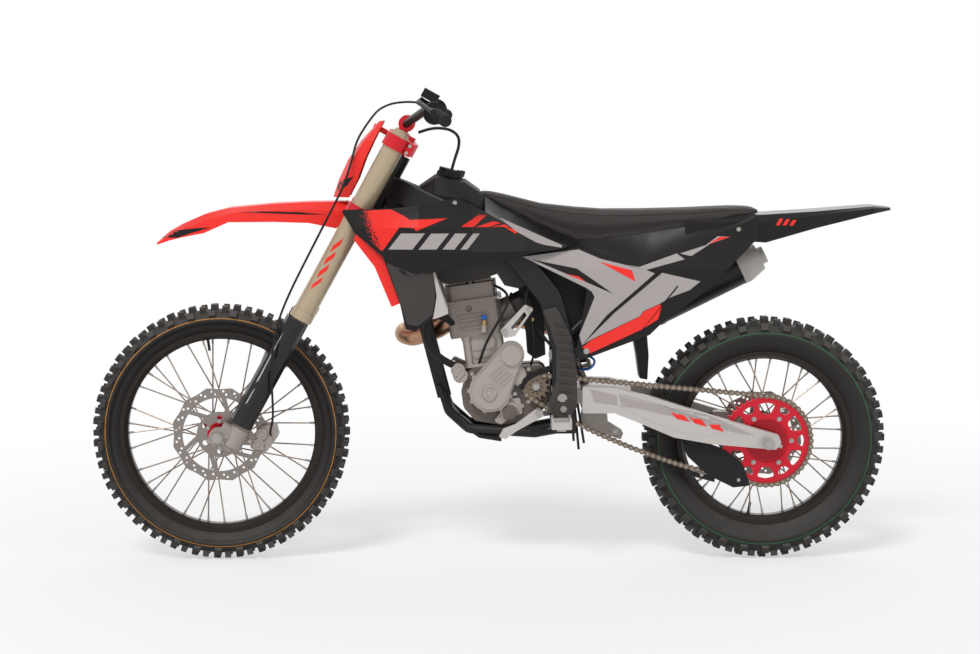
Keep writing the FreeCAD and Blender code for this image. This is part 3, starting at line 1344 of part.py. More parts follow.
def hoses_all():
    hose_node = hose([vec(627.2, 0, 1060.3), vec(634.6, 0, 1088), vec(647, 0, 1122), vec(646, 0, 1150),
                      vec(624, 0, 1167),
                      vec(592, 0, 1172), vec(561, 0, 1168), vec(537, 0, 1159)], "hose_radius")
    finish(hose_node, "vent_hose")
    tails = []
    low = size("pivot_z") - 18
    for x, y, z, drop in ((949, -60, low, 0), (957, -50, low, -8), (965, -60, low, 4)):
        tails.append(hose([vec(x, y, z), vec(x, y, z - 40), vec(x + 4, y - 2, z - 80 + drop)],
                          "drain_radius"))
    finish(group(tails), "drain_hoses")
    face = -size("disc_front_line") - 30
    path = [vec(548, 190, 1236), vec(505, 146, 1240), vec(462, 92, 1236), vec(428, 36, 1220),
            vec(402, -20, 1186), vec(374, -66, 1140), vec(361, -98, 1085), vec(345, -114, 1030),
            vec(318, -121, 975), vec(288, -123, 918), vec(258, -121, 860), vec(228, -122, 802),
            vec(199, -126, 744), vec(174, -136, 686), vec(158, -147, 632), vec(150, -151, 575),
            vec(147, -151, 515), vec(150, -148, 458), vec(150, -136, 402), vec(140, face - 34, 362),
            vec(140, face, 352)]
    finish(hose(path, "brake_hose_radius"), "brake_hose")


front_wheel()
rear_wheel()
chain()
fork()
clamps()
handlebar()
number_plate()
front_fender()
axles()
front_caliper()
rear_caliper()
main_frame()
subframe()
swingarm()
pivot_bolt()
engine()
engine_mounts()
throttle()
exhaust()
radiators()
tank()
seat()
panels()
rear_fender()
small_parts()
hoses_all()

carve(named("engine_covers"), [named("crankcase")])
carve(named("cylinder"), [named("crankcase"), named("engine_covers")])
carve(named("engine_stays"), [named("cylinder_head"), named("cylinder"), named("main_frame")])
carve(named("swingarm"), [named("main_frame")])
carve(named("radiators"), [named("radiator_shrouds")])
carve(named("radiator_guards"), [named("radiator_shrouds")])
carve(named("seat"), [named("subframe")])
carve(named("fuel_tank"), [named("main_frame"), named("fuel_cap"), named("seat")])
carve(named("subframe"), [named("main_frame")])
carve(named("number_plate"), [named("fork_clamps")])
carve(named("shock_absorber"), [named("swingarm"), named("main_frame")])
carve(named("shock_linkage"), [named("swingarm")])
carve(named("side_panels"), [named("main_frame"), named("subframe")])
carve(named("rear_fender"), [named("seat"), named("subframe")])
carve(named("skid_guard"), [named("main_frame")])
carve(named("front_caliper"), [named("fork_legs")])
carve(named("rear_caliper"), [named("swingarm")])
carve(named("frame_guards"), [named("header_pipe")])
carve(named("footpegs"), [named("main_frame"), named("frame_guards")])
carve(named("brake_pedal"), [named("footpegs"), named("frame_guards")])
carve(named("airbox"), [named("subframe"), named("throttle_body")])
carve(named("mud_flap"), [named("airbox"), named("swingarm")])
carve(named("chain_guide"), [named("swingarm")])

doc.recompute()

faults = []
for item in doc.Objects:
    if "Invalid" in item.State or "Error" in item.State:
        faults.append("failed object %s used by %s" % (item.Name, [user.Label for user in item.InList]))
for node in nodes:
    if node.Shape.isNull() or not node.Shape.isValid():
        faults.append("bad shape " + node.Label)
if faults:
    raise RuntimeError("; ".join(faults))
for item, alias, path, radii in hoses:
    ideal = math.pi * size(alias) ** 2 * path.Shape.Length
    print("hose", alias, "length", round(path.Shape.Length, 1), "radii", [round(r, 1) for r in radii],
          "volume ratio", round(item.Shape.Volume / ideal, 5))

os.makedirs("parts", exist_ok=True)
for node in nodes:
    node.Shape.exportStep("parts/%s.step" % node.Label)
    print(node.Label, len(node.Shape.Solids), round(node.Shape.Volume / 1000, 1))
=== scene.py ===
import math
import bpy
import bmesh
from mathutils import Matrix, Vector
from mathutils.bvhtree import BVHTree


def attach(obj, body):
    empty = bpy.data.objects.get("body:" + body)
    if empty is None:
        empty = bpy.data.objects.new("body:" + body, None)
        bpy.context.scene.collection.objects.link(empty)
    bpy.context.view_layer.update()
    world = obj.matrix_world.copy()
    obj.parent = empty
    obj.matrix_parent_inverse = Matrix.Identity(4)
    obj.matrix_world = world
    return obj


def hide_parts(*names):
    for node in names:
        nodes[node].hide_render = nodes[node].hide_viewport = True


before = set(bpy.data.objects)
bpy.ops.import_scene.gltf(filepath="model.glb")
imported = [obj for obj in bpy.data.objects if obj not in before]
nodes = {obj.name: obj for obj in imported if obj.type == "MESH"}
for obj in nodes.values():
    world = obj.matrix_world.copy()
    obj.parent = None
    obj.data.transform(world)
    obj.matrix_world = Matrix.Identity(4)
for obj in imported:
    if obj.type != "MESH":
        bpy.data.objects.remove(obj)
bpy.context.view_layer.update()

# Places are written in millimetres from the ground under the front axle, +X to the rear,
# -Y to the rider's left. The frame's own origin is the rider's place on the seat.
seatPoint = Vector((1080, 0, 952))
frontAxle = Vector((0, 0, 349))
rearAxle = Vector((1475, 0, 331))


def at(x, y, z):
    return (Vector((x, y, z)) - seatPoint) / 1000


# ---- camera
cameraSettings = {"place": (642.79, -6334.18, 1323.37), "down": 6.2225, "right": 0.7881, "lens": 86.2147}


def makeCamera(settings):
    data = bpy.data.cameras.new("camera")
    data.lens = settings["lens"]
    data.sensor_width = 36
    camera = bpy.data.objects.new("camera", data)
    camera.location = at(*settings["place"])
    camera.rotation_euler = (math.radians(90 - settings["down"]), 0, math.radians(-settings["right"]))
    bpy.context.scene.collection.objects.link(camera)
    bpy.context.scene.camera = camera


makeCamera(cameraSettings)
print("camera placed")


# ---- small helpers for meshes
def link(thing):
    bpy.context.scene.collection.objects.link(thing)
    return thing


def fromBmesh(name, work, smooth=True):
    data = bpy.data.meshes.new(name)
    work.to_mesh(data)
    work.free()
    for face in data.polygons:
        face.use_smooth = smooth
    return link(bpy.data.objects.new(name, data))


def fromCurve(name, shape):
    # Keeps a curve's tube or plate as a plain mesh.
    plain = bpy.data.meshes.new_from_object(shape.evaluated_get(bpy.context.evaluated_depsgraph_get()))
    bpy.data.objects.remove(shape)
    return link(bpy.data.objects.new(name, plain))


def surfaceTree(data):
    work = bmesh.new()
    work.from_mesh(data)
    tree = BVHTree.FromBMesh(work)
    work.free()
    return tree


def alter(thing, kind, **settings):
    modifier = thing.modifiers.new(kind.lower(), kind)
    for key, value in settings.items():
        setattr(modifier, key, value)
    return modifier


def applyModifiers(thing):
    bpy.context.view_layer.update()
    shot = thing.evaluated_get(bpy.context.evaluated_depsgraph_get())
    plain = bpy.data.meshes.new_from_object(shot)
    thing.modifiers.clear()
    thing.data = plain
    return thing


def makeWall(thing, thickness, bevel=0):
    # Gives a sheet its thickness in millimetres, inward from its face, with bevelled or sharp borders.
    alter(thing, "SOLIDIFY", thickness=thickness / 1000, offset=-1)
    if bevel:
        alter(thing, "BEVEL", width=bevel / 1000, segments=2)
    applyModifiers(thing)
    if not bevel:
        thing.data.set_sharp_from_angle(angle=math.radians(40))


def faceAlong(work, direction):
    work.normal_update()
    if sum(face.normal.dot(direction) for face in work.faces) < 0:
        bmesh.ops.reverse_faces(work, faces=work.faces[:])


# ---- effects that several materials share
def addNode(tree, kind, inputs=None, **settings):
    node = tree.nodes.new(kind)
    for key, value in settings.items():
        setattr(node, key, value)
    for key, value in (inputs or {}).items():
        if isinstance(value, bpy.types.NodeSocket):
            tree.links.new(value, node.inputs[key])
        else:
            node.inputs[key].default_value = value
    return node


def math2(tree, operation, first, second=0.0, clamp=False):
    return addNode(tree, "ShaderNodeMath", {0: first, 1: second}, operation=operation, use_clamp=clamp).outputs[0]


def vectorMath(tree, operation, first, second=(0.0, 0.0, 0.0), result=0):
    return addNode(tree, "ShaderNodeVectorMath", {0: first, 1: second}, operation=operation).outputs[result]


def noise(tree, place, scale, detail, **more):
    node = addNode(tree, "ShaderNodeTexNoise", {"Vector": place, "Scale": scale, "Detail": detail, **more})
    return node.outputs["Fac"]


def newGroup(name, inputs, output):
    # A group that turns the object's own coordinates into one mask or height.
    tree = bpy.data.node_groups.new(name, "ShaderNodeTree")
    for label, value in inputs.items():
        kind = "NodeSocketFloat" if isinstance(value, float) else "NodeSocketVector"
        tree.interface.new_socket(label, in_out="INPUT", socket_type=kind).default_value = value
    tree.interface.new_socket(output, in_out="OUTPUT", socket_type="NodeSocketFloat")
    place = addNode(tree, "ShaderNodeTexCoord").outputs["Object"]
    return tree, tree.nodes.new("NodeGroupInput").outputs, place


def closeGroup(tree, result):
    tree.links.new(result, tree.nodes.new("NodeGroupOutput").inputs[0])
    return tree


def buildGrain():
    # Height of a fine moulded or cast skin: two sizes of noise.
    tree, given, place = newGroup("surfaceGrain", {"Scale": 900.0, "Coarse": 60.0}, "Height")
    total = math2(tree, "ADD", noise(tree, place, given["Scale"], 2.0), noise(tree, place, given["Coarse"], 3.0))
    return closeGroup(tree, math2(tree, "MULTIPLY", total, 0.5))


def buildWear():
    # Mask of rubbed and handled places: broad patches broken up by scratches.
    tree, given, place = newGroup("wearMask", {"Amount": 0.3, "Scale": 14.0}, "Mask")
    patches = noise(tree, place, given["Scale"], 6.0, Roughness=0.65)
    stretch = addNode(tree, "ShaderNodeMapping", {"Vector": place, "Rotation": (0.3, 0.6, 0.2),
                                                  "Scale": (40.0, 220.0, 700.0)})
    both = math2(tree, "MULTIPLY", patches, noise(tree, stretch.outputs[0], 1.0, 2.0))
    level = math2(tree, "SUBTRACT", 0.52, math2(tree, "MULTIPLY", given["Amount"], 0.4))
    return closeGroup(tree, math2(tree, "MULTIPLY", math2(tree, "SUBTRACT", both, level), 9.0, clamp=True))


def buildDust():
    # Mask of settled dust: surfaces that face up, broken by noise.
    tree, given, place = newGroup("dustMask", {"Amount": 0.2}, "Mask")
    facing = addNode(tree, "ShaderNodeSeparateXYZ", {0: addNode(tree, "ShaderNodeNewGeometry").outputs["Normal"]})
    upward = math2(tree, "MULTIPLY", facing.outputs["Z"], 0.8, clamp=True)
    mask = math2(tree, "MULTIPLY", upward, noise(tree, place, 30.0, 5.0))
    return closeGroup(tree, math2(tree, "MULTIPLY", mask, given["Amount"]))


def axleDistance(tree, place, centre):
    # How far a place is from an axle that runs across the bike.
    flat = vectorMath(tree, "MULTIPLY", vectorMath(tree, "SUBTRACT", place, centre), (1.0, 0.0, 1.0))
    return vectorMath(tree, "LENGTH", flat, result="Value")


def buildRings():
    # Height of turned or ground rings about an axle.
    tree, given, place = newGroup("turnedRings", {"Centre": (0.0, 0.0, 0.0), "Rings": 900.0}, "Height")
    scaled = math2(tree, "MULTIPLY", axleDistance(tree, place, given["Centre"]), given["Rings"])
    waves = addNode(tree, "ShaderNodeTexNoise", {"W": scaled, "Scale": 1.0, "Detail": 3.0}, noise_dimensions="1D")
    return closeGroup(tree, waves.outputs["Fac"])


def buildZone():
    # Mask of what lies within a radius of an axle.
    tree, given, place = newGroup("roundZone", {"Centre": (0.0, 0.0, 0.0), "Radius": 0.03}, "Mask")
    return closeGroup(tree, math2(tree, "LESS_THAN", axleDistance(tree, place, given["Centre"]), given["Radius"]))


def buildSpeckle():
    # Mask that breaks up into specks along a direction, from none of the second tone to all of it.
    tree, given, place = newGroup("speckleEdge", {"Start": (0.0, 0.0, 0.0), "Direction": (1.0, 0.0, 0.0),
                                                  "Width": 0.05, "Scale": 260.0, "Specks": 1.0}, "Mask")
    away = vectorMath(tree, "SUBTRACT", place, given["Start"])
    along = vectorMath(tree, "DOT_PRODUCT", away, given["Direction"], result="Value")
    broken = math2(tree, "SUBTRACT", noise(tree, place, given["Scale"], 3.0, Roughness=0.7), 0.5)
    lift = math2(tree, "MULTIPLY", math2(tree, "MULTIPLY", broken, given["Specks"]), 3.0)
    total = math2(tree, "ADD", math2(tree, "DIVIDE", along, given["Width"]), lift)
    sharp = math2(tree, "MULTIPLY", math2(tree, "SUBTRACT", total, 0.5), 14.0)
    return closeGroup(tree, math2(tree, "ADD", sharp, 0.5, clamp=True))


def buildWeave():
    # Height of the small raised diamonds of a grip cover.
    tree, given, place = newGroup("coverWeave", {"Scale": 420.0}, "Height")
    turned = addNode(tree, "ShaderNodeMapping", {"Vector": place, "Rotation": (0.0, 0.0, math.pi / 4)})
    parts = addNode(tree, "ShaderNodeSeparateXYZ", {0: turned.outputs[0]})
    turns = math2(tree, "MULTIPLY", given["Scale"], math.tau)
    waves = [math2(tree, "ABSOLUTE", math2(tree, "SINE", math2(tree, "MULTIPLY", parts.outputs[axis], turns)))
             for axis in ("X", "Y")]
    return closeGroup(tree, math2(tree, "MULTIPLY", *waves))


effects = {"grain": buildGrain(), "wear": buildWear(), "dust": buildDust(), "rings": buildRings(),
           "speckle": buildSpeckle(), "weave": buildWeave(), "zone": buildZone()}


def effect(tree, name, **values):
    node = tree.nodes.new("ShaderNodeGroup")
    node.node_tree = effects[name]
    for label, value in values.items():
        node.inputs[label].default_value = value
    return node.outputs[0]


# ---- materials
dustColour = (0.42, 0.38, 0.33, 1)
roughSpread = 0.12
wornRough = 0.18
bumpStrength = 0.35


def speckled(start, direction, width, scale=260.0, specks=1.0):
    # A second tone that begins at a place and takes over along a direction; widths in metres.
    return lambda tree: effect(tree, "speckle", Start=start, Direction=direction, Width=width, Scale=scale,
                               Specks=specks)


def zoned(centre, radius):
    # A second tone within a radius in metres of an axle.
    return lambda tree: effect(tree, "zone", Centre=centre, Radius=radius)


def blend(tree, share, first, second):
    return addNode(tree, "ShaderNodeMix", {"Factor": share, 6: first, 7: second}, data_type="RGBA").outputs[2]


def makeFinish(name, colour, worn, rough, metal=0.0, grain=900.0, coarse=60.0, depth=0.02, wear=0.3, dust=0.1,
               coat=0.0, rings=None, shine=0.5, second=None, weave=None):
    # Colours are (red, green, blue), grain sizes are repeats in a metre, and depth is in millimetres.
    material = bpy.data.materials.new(name)
    material.use_nodes = True
    tree = material.node_tree
    shader = tree.nodes["Principled BSDF"]
    rubbed = effect(tree, "wear", Amount=wear)
    tone = (*colour, 1)
    if second is not None:
        tone = blend(tree, second[0](tree), tone, (*second[1], 1))
    tone = blend(tree, rubbed, tone, (*worn, 1))
    tone = blend(tree, effect(tree, "dust", Amount=dust), tone, dustColour)
    tree.links.new(tone, shader.inputs["Base Color"])
    height = effect(tree, "grain", Scale=grain, Coarse=coarse)
    dull = math2(tree, "ADD", math2(tree, "MULTIPLY", rubbed, wornRough), rough - roughSpread / 2)
    cloud = math2(tree, "MULTIPLY", height, roughSpread)
    tree.links.new(math2(tree, "ADD", cloud, dull), shader.inputs["Roughness"])
    for socket, value in (("Metallic", metal), ("Coat Weight", coat), ("Specular IOR Level", shine)):
        shader.inputs[socket].default_value = value
    if weave is not None:
        height = math2(tree, "ADD", math2(tree, "MULTIPLY", height, 0.5), effect(tree, "weave", Scale=weave))
    if rings is not None:
        height = math2(tree, "ADD", height, effect(tree, "rings", Centre=rings[0], Rings=rings[1]))
    bump = addNode(tree, "ShaderNodeBump", {"Height": height, "Strength": bumpStrength, "Distance": depth / 1000})
    tree.links.new(bump.outputs[0], shader.inputs["Normal"])
    return material


castSkin = {"metal": 0.3, "grain": 1400, "coarse": 220}
mouldSkin = {"grain": 2200, "coarse": 300, "depth": 0.08, "wear": 0.2, "dust": 0.02}
tyreSkin = {"grain": 1200, "coarse": 160}
finishes = {
    "tyre": makeFinish("tyreRubber", (0.036, 0.033, 0.031), (0.09, 0.083, 0.078), 0.66, **tyreSkin, depth=0.25,
                       wear=0.4, dust=0.3, shine=0.35),
    "carcass": makeFinish("tyreWall", (0.02, 0.018, 0.017), (0.05, 0.045, 0.042), 0.62, **tyreSkin, depth=0.15,
                          wear=0.35, dust=0.2, shine=0.3),
    "rim": makeFinish("blackAnodised", (0.02, 0.015, 0.013), (0.07, 0.06, 0.055), 0.36, metal=0.3, wear=0.15,
                      shine=0.3),
    "spoke": makeFinish("spokeSteel", (0.3, 0.24, 0.2), (0.16, 0.12, 0.1), 0.34, metal=1.0, wear=0.4),
    "frontHub": makeFinish("redAnodisedFront", (0.62, 0.012, 0.03), (0.75, 0.2, 0.18), 0.32, metal=0.55, wear=0.15,
                           rings=(at(*frontAxle), 2500)),
    "rearHub": makeFinish("redAnodisedRear", (0.62, 0.012, 0.03), (0.75, 0.2, 0.18), 0.32, metal=0.55, wear=0.15,
                          rings=(at(*rearAxle), 2500), second=(zoned(at(*rearAxle), 0.056), (0.36, 0.008, 0.016))),
    "red": makeFinish("redAnodised", (0.66, 0.012, 0.022), (0.75, 0.2, 0.18), 0.32, metal=0.5, wear=0.12),
    "frontDisc": makeFinish("groundSteelFront", (0.27, 0.24, 0.22), (0.13, 0.11, 0.1), 0.36, metal=0.9, depth=0.05,
                            wear=0.35, rings=(at(*frontAxle), 3200),
                            second=(zoned(at(*frontAxle), 0.0335), (0.5, 0.01, 0.02))),
    "rearDisc": makeFinish("groundSteelRear", (0.27, 0.24, 0.22), (0.13, 0.11, 0.1), 0.36, metal=0.9, depth=0.05,
                           wear=0.35, rings=(at(*rearAxle), 3200)),
    "steel": makeFinish("plainSteel", (0.4, 0.38, 0.36), (0.2, 0.18, 0.16), 0.34, metal=0.9, depth=0.03, wear=0.35),
    "darkSteel": makeFinish("darkSteel", (0.12, 0.1, 0.085), (0.2, 0.18, 0.16), 0.4, metal=0.8, depth=0.03,
                            wear=0.35),
    "chain": makeFinish("oiledSteel", (0.2, 0.155, 0.115), (0.08, 0.065, 0.05), 0.4, metal=0.85, depth=0.05,
                        wear=0.5),
    "gold": makeFinish("goldAnodised", (0.47, 0.375, 0.25), (0.56, 0.47, 0.34), 0.3, metal=0.25, wear=0.12),
    "alloy": makeFinish("satinAlloy", (0.54, 0.505, 0.48), (0.36, 0.34, 0.32), 0.42, metal=0.35, grain=1500,
                        coarse=90, depth=0.04, shine=0.35),
    "cast": makeFinish("castAlloy", (0.4, 0.36, 0.325), (0.26, 0.22, 0.19), 0.5, **castSkin, depth=0.2, wear=0.45,
                       shine=0.35),
    "head": makeFinish("agedCasting", (0.26, 0.222, 0.195), (0.12, 0.1, 0.088), 0.46, **castSkin, depth=0.2, wear=0.4,
                       shine=0.35),
    "darkCast": makeFinish("darkCast", (0.05, 0.044, 0.04), (0.14, 0.12, 0.1), 0.5, **castSkin, depth=0.2, shine=0.3),
    "blackPlastic": makeFinish("mouldedBlack", (0.013, 0.012, 0.012), (0.03, 0.028, 0.027), 0.5, **mouldSkin,
                               shine=0.2),
    "greyPlastic": makeFinish("mouldedGrey", (0.06, 0.055, 0.052), (0.09, 0.083, 0.078), 0.55, **mouldSkin,
                              shine=0.15),
    "glossBlack": makeFinish("glossBlack", (0.0095, 0.0085, 0.008), (0.02, 0.018, 0.017), 0.26, depth=0.015, wear=0.1,
                             dust=0.01, shine=0.22),
    "redPlastic": makeFinish("glossRed", (0.9, 0.032, 0.024), (0.8, 0.05, 0.04), 0.34, wear=0.1, coat=0.05, dust=0.02,
                             shine=0.25),
    "speckleRed": makeFinish("printedRed", (0.0095, 0.0085, 0.008), (0.03, 0.02, 0.02), 0.32, depth=0.01, wear=0.1,
                             dust=0.01, shine=0.22,
                             second=(speckled(at(392, 0, 930), (0.9, 0, 0.3), 0.034), (0.9, 0.032, 0.024))),
    "speckleBars": makeFinish("printedBars", (0.9, 0.032, 0.024), (0.6, 0.05, 0.04), 0.34, depth=0.01, wear=0.1,
                              dust=0.01, shine=0.22,
                              second=(speckled(at(690, 0, 930), (0.25, 0, 1), 0.05, 500.0, 1.3), (0.02, 0.01, 0.01))),
    "whiteDecal": makeFinish("printedWhite", (0.5, 0.48, 0.47), (0.2, 0.19, 0.18), 0.42, depth=0.01, wear=0.45,
                             dust=0.03, shine=0.25),
    "thread": makeFinish("seamThread", (0.04, 0.036, 0.034), (0.06, 0.055, 0.05), 0.7, wear=0.2, shine=0.2),
    "orange": makeFinish("orangePaint", (0.6, 0.25, 0.03), (0.2, 0.1, 0.03), 0.6, wear=0.4, shine=0.25),
    "green": makeFinish("greenPaint", (0.03, 0.16, 0.06), (0.04, 0.08, 0.05), 0.6, wear=0.5, shine=0.25),
    "greyDecal": makeFinish("greyDecal", (0.4, 0.365, 0.36), (0.44, 0.41, 0.4), 0.42, depth=0.015, wear=0.12,
                            dust=0.02, shine=0.2),
    "guardBlack": makeFinish("guardBlack", (0.011, 0.01, 0.01), (0.03, 0.028, 0.027), 0.2, wear=0.15, dust=0.01,
                             shine=0.38),
    "caliper": makeFinish("caliperCasting", (0.36, 0.315, 0.285), (0.22, 0.19, 0.17), 0.46, **castSkin, depth=0.15,
                          wear=0.4, shine=0.35),
    "caseDark": makeFinish("caseDark", (0.15, 0.125, 0.11), (0.26, 0.23, 0.2), 0.5, **castSkin, depth=0.2, wear=0.45,
                           shine=0.3),
    "frame": makeFinish("frameBlack", (0.012, 0.011, 0.011), (0.045, 0.042, 0.04), 0.36, depth=0.05, wear=0.25,
                        shine=0.3),
    "copper": makeFinish("heatTintedPipe", (0.42, 0.24, 0.15), (0.2, 0.14, 0.15), 0.3, metal=0.95, depth=0.03,
                         wear=0.5),
    "silencer": makeFinish("silencerBlack", (0.012, 0.011, 0.011), (0.035, 0.033, 0.032), 0.4, depth=0.04, wear=0.2,
                           shine=0.3,
                           second=(speckled(at(1414, 110, 786), (0.896, 0, 0.443), 0.002, 200.0, 0.0), (0.58, 0.55,
                           0.52))),
    "rubber": makeFinish("softRubber", (0.014, 0.013, 0.013), (0.035, 0.033, 0.032), 0.62, depth=0.06, wear=0.2,
                         shine=0.25),
    "seat": makeFinish("seatCover", (0.03, 0.026, 0.025), (0.045, 0.04, 0.038), 0.62, grain=2600, coarse=420,
                       depth=0.25, wear=0.2, weave=330.0, shine=0.2),
    "brass": makeFinish("brass", (0.5, 0.34, 0.13), (0.34, 0.24, 0.1), 0.35, metal=0.9),
    "blue": makeFinish("bluePlastic", (0.02, 0.13, 0.5), (0.04, 0.15, 0.4), 0.35, wear=0.1, shine=0.3),
}
print("materials made")

nodeFinish = {
    "rim": ["front_rim", "rear_rim"], "spoke": ["front_spokes", "rear_spokes"],
    "frontHub": ["front_hub"], "rearHub": ["rear_hub"], "frontDisc": ["front_disc"],
    "rearDisc": ["rear_disc"], "red": ["fork_clamps"], "gold": ["fork_tubes"],
    "steel": ["front_axle", "rear_axle", "pivot_bolt"], "darkSteel": ["shock_absorber"],
    "chain": ["front_sprocket"], "frame": ["main_frame", "handlebar", "subframe"],
    "caliper": ["front_caliper", "rear_caliper", "fork_legs"],
    "alloy": ["swingarm", "radiators", "footpegs", "shift_lever",
              "brake_pedal", "engine_stays"],
    "cast": ["cylinder", "engine_covers", "shock_linkage"],
    "caseDark": ["crankcase"], "guardBlack": ["fork_guards"], "head": ["cylinder_head", "head_cover"],
    "darkCast": ["throttle_body"], "copper": ["header_pipe"], "silencer": ["silencer"],
    "glossBlack": ["radiator_shrouds", "side_panels", "rear_fender"],
    "redPlastic": ["number_plate", "front_fender", "radiator_guards"],
    "blackPlastic": ["fuel_tank", "fuel_cap", "mud_flap", "airbox", "chain_guide", "skid_guard",
                     "hand_controls"], "greyPlastic": ["frame_guards"],
    "rubber": ["grips", "brake_hose"],
}


def dress(thing, finish):
    thing.data.materials.clear()
    thing.data.materials.append(finishes[finish])


def settle(thing, finish, body, node=None):
    # Dresses a piece and says what it rides on and which node it stands for.
    if finish is not None:
        dress(thing, finish)
    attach(thing, body)
    if node is not None:
        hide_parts(node)
    return thing


for finish, names in nodeFinish.items():
    for name in names:
        dress(nodes[name], finish)
print("nodes dressed")


# ---- cords
hoseSettings = {
    "ventHose": {"node": "vent_hose", "diameter": 8.0, "far": "object", "lengths": [207], "routes": [
        [(627.2, 0, 1060.3), (634.6, 0, 1088), (647, 0, 1122), (646, 0, 1150), (624, 0, 1167),
         (592, 0, 1172), (561, 0, 1168), (537, 0, 1159)]]},
    "drainHose": {"node": "drain_hoses", "diameter": 7.0, "far": "bare", "lengths": [104.5, 129.1, 111.6], "routes": [
        [(949, -60, 434), (952, -64, 382), (955, -68, 330)],
        [(957, -50, 434), (963, -56, 370), (969, -62, 306)],
        [(965, -60, 434), (974, -63, 379), (983, -66, 324)]]},
}


def hoseCurve(name, route, diameter):
    data = bpy.data.curves.new(name, "CURVE")
    data.dimensions = "3D"
    data.bevel_depth = 1
    data.bevel_resolution = 4
    data.use_fill_caps = True
    data.resolution_u = 16
    line = data.splines.new("NURBS")
    line.points.add(len(route) - 1)
    for point, place in zip(line.points, route):
        point.co = (*at(*place), 1)
        point.radius = diameter / 2000
    line.order_u = 3
    line.use_endpoint_u = True
    return link(bpy.data.objects.new(name, data))


def makeHoses(settings):
    for name, look in settings.items():
        for index, (route, length) in enumerate(zip(look["routes"], look["lengths"])):
            hose = hoseCurve("%s%d" % (name, index), route, look["diameter"])
            settle(hose, "rubber", "chassis", look["node"])


makeHoses(hoseSettings)
print("cords placed")


# ---- places on the surface of CAD nodes
surfaces = {}


def surfaceOf(name):
    if name not in surfaces:
        surfaces[name] = surfaceTree(nodes[name].data)
    return surfaces[name]


def sideHit(names, x, z, side, reach=500):
    # The first place that a look across the bike from that side meets on the named nodes.
    best = None
    for name in names:
        spot, normal, _, away = surfaceOf(name).ray_cast(at(x, side * reach, z), Vector((0, -side, 0)))
        if spot is not None and (best is None or away < best[2]):
            best = (spot, normal, away)
    return best


# ---- trees of Geometry Nodes for what repeats
def newTree(name, inputs):
    # A tree whose named inputs are its own numbers and a finish.
    tree = bpy.data.node_groups.new(name, "GeometryNodeTree")
    tree.interface.new_socket("Geometry", in_out="INPUT", socket_type="NodeSocketGeometry")
    for label, value in inputs.items():
        kind = "NodeSocketInt" if isinstance(value, int) else "NodeSocketFloat"
        tree.interface.new_socket(label, in_out="INPUT", socket_type=kind).default_value = value
    tree.interface.new_socket("Finish", in_out="INPUT", socket_type="NodeSocketMaterial")
    tree.interface.new_socket("Geometry", in_out="OUTPUT", socket_type="NodeSocketGeometry")
    return tree, tree.nodes.new("NodeGroupInput").outputs


def readName(tree, name, kind="FLOAT_VECTOR"):
    return addNode(tree, "GeometryNodeInputNamedAttribute", {"Name": name}, data_type=kind).outputs["Attribute"]


def aligned(tree, direction, axis, pivot="AUTO", **start):
    return addNode(tree, "FunctionNodeAlignRotationToVector", {"Vector": direction, **start}, axis=axis,
                   pivot_axis=pivot).outputs[0]


def scatter(tree, given, piece, points=None, **more):
    # Puts the piece on every point, makes the copies real and dresses them.
    spread = addNode(tree, "GeometryNodeInstanceOnPoints", {"Points": points or given["Geometry"], "Instance": piece,
                                                            **more})
    whole = addNode(tree, "GeometryNodeRealizeInstances", {"Geometry": spread.outputs[0]})
    dressed = addNode(tree, "GeometryNodeSetMaterial", {"Geometry": whole.outputs[0], "Material": given["Finish"]})
    tree.links.new(dressed.outputs[0], tree.nodes.new("NodeGroupOutput").inputs[0])
    return tree


def moved(tree, mesh, shift=(0, 0, 0), turn=(0, 0, 0), scale=(1, 1, 1)):
    return addNode(tree, "GeometryNodeTransform", {"Geometry": mesh, "Translation": shift, "Rotation": turn,
                                                   "Scale": scale}).outputs[0]


def rod(tree, sides, radius, depth):
    sizes = {"Vertices": sides, "Radius": radius, "Depth": depth}
    return addNode(tree, "GeometryNodeMeshCylinder", sizes).outputs["Mesh"]


def combined(tree, **parts):
    return addNode(tree, "ShaderNodeCombineXYZ", parts).outputs[0]


def joined(tree, parts):
    node = tree.nodes.new("GeometryNodeJoinGeometry")
    for part in reversed(parts):
        tree.links.new(part, node.inputs[0])
    return node.outputs[0]


def evenCurve(tree, given, mode, **step):
    line = addNode(tree, "GeometryNodeMeshToCurve", {"Mesh": given["Geometry"]})
    return addNode(tree, "GeometryNodeResampleCurve", {"Curve": line.outputs[0], **step}, mode=mode).outputs[0]


def tangent(tree):
    return addNode(tree, "GeometryNodeInputTangent").outputs[0]


def buildFasteners():
    # A flanged head on each point, as wide as the point says and turned along its aim.
    tree, given = newTree("fasteners", {"Head Height": 1.1, "Head Width": 0.74, "Head Sides": 6})
    flange = moved(tree, rod(tree, 14, 1.0, 0.4), (0, 0, 0.15))
    lift = combined(tree, Z=math2(tree, "MULTIPLY", given["Head Height"], 0.5))
    head = moved(tree, rod(tree, given["Head Sides"], given["Head Width"], given["Head Height"]), lift)
    return scatter(tree, given, joined(tree, [flange, head]), Rotation=aligned(tree, readName(tree, "aim"), "Z"),
                   Scale=readName(tree, "width", "FLOAT"))


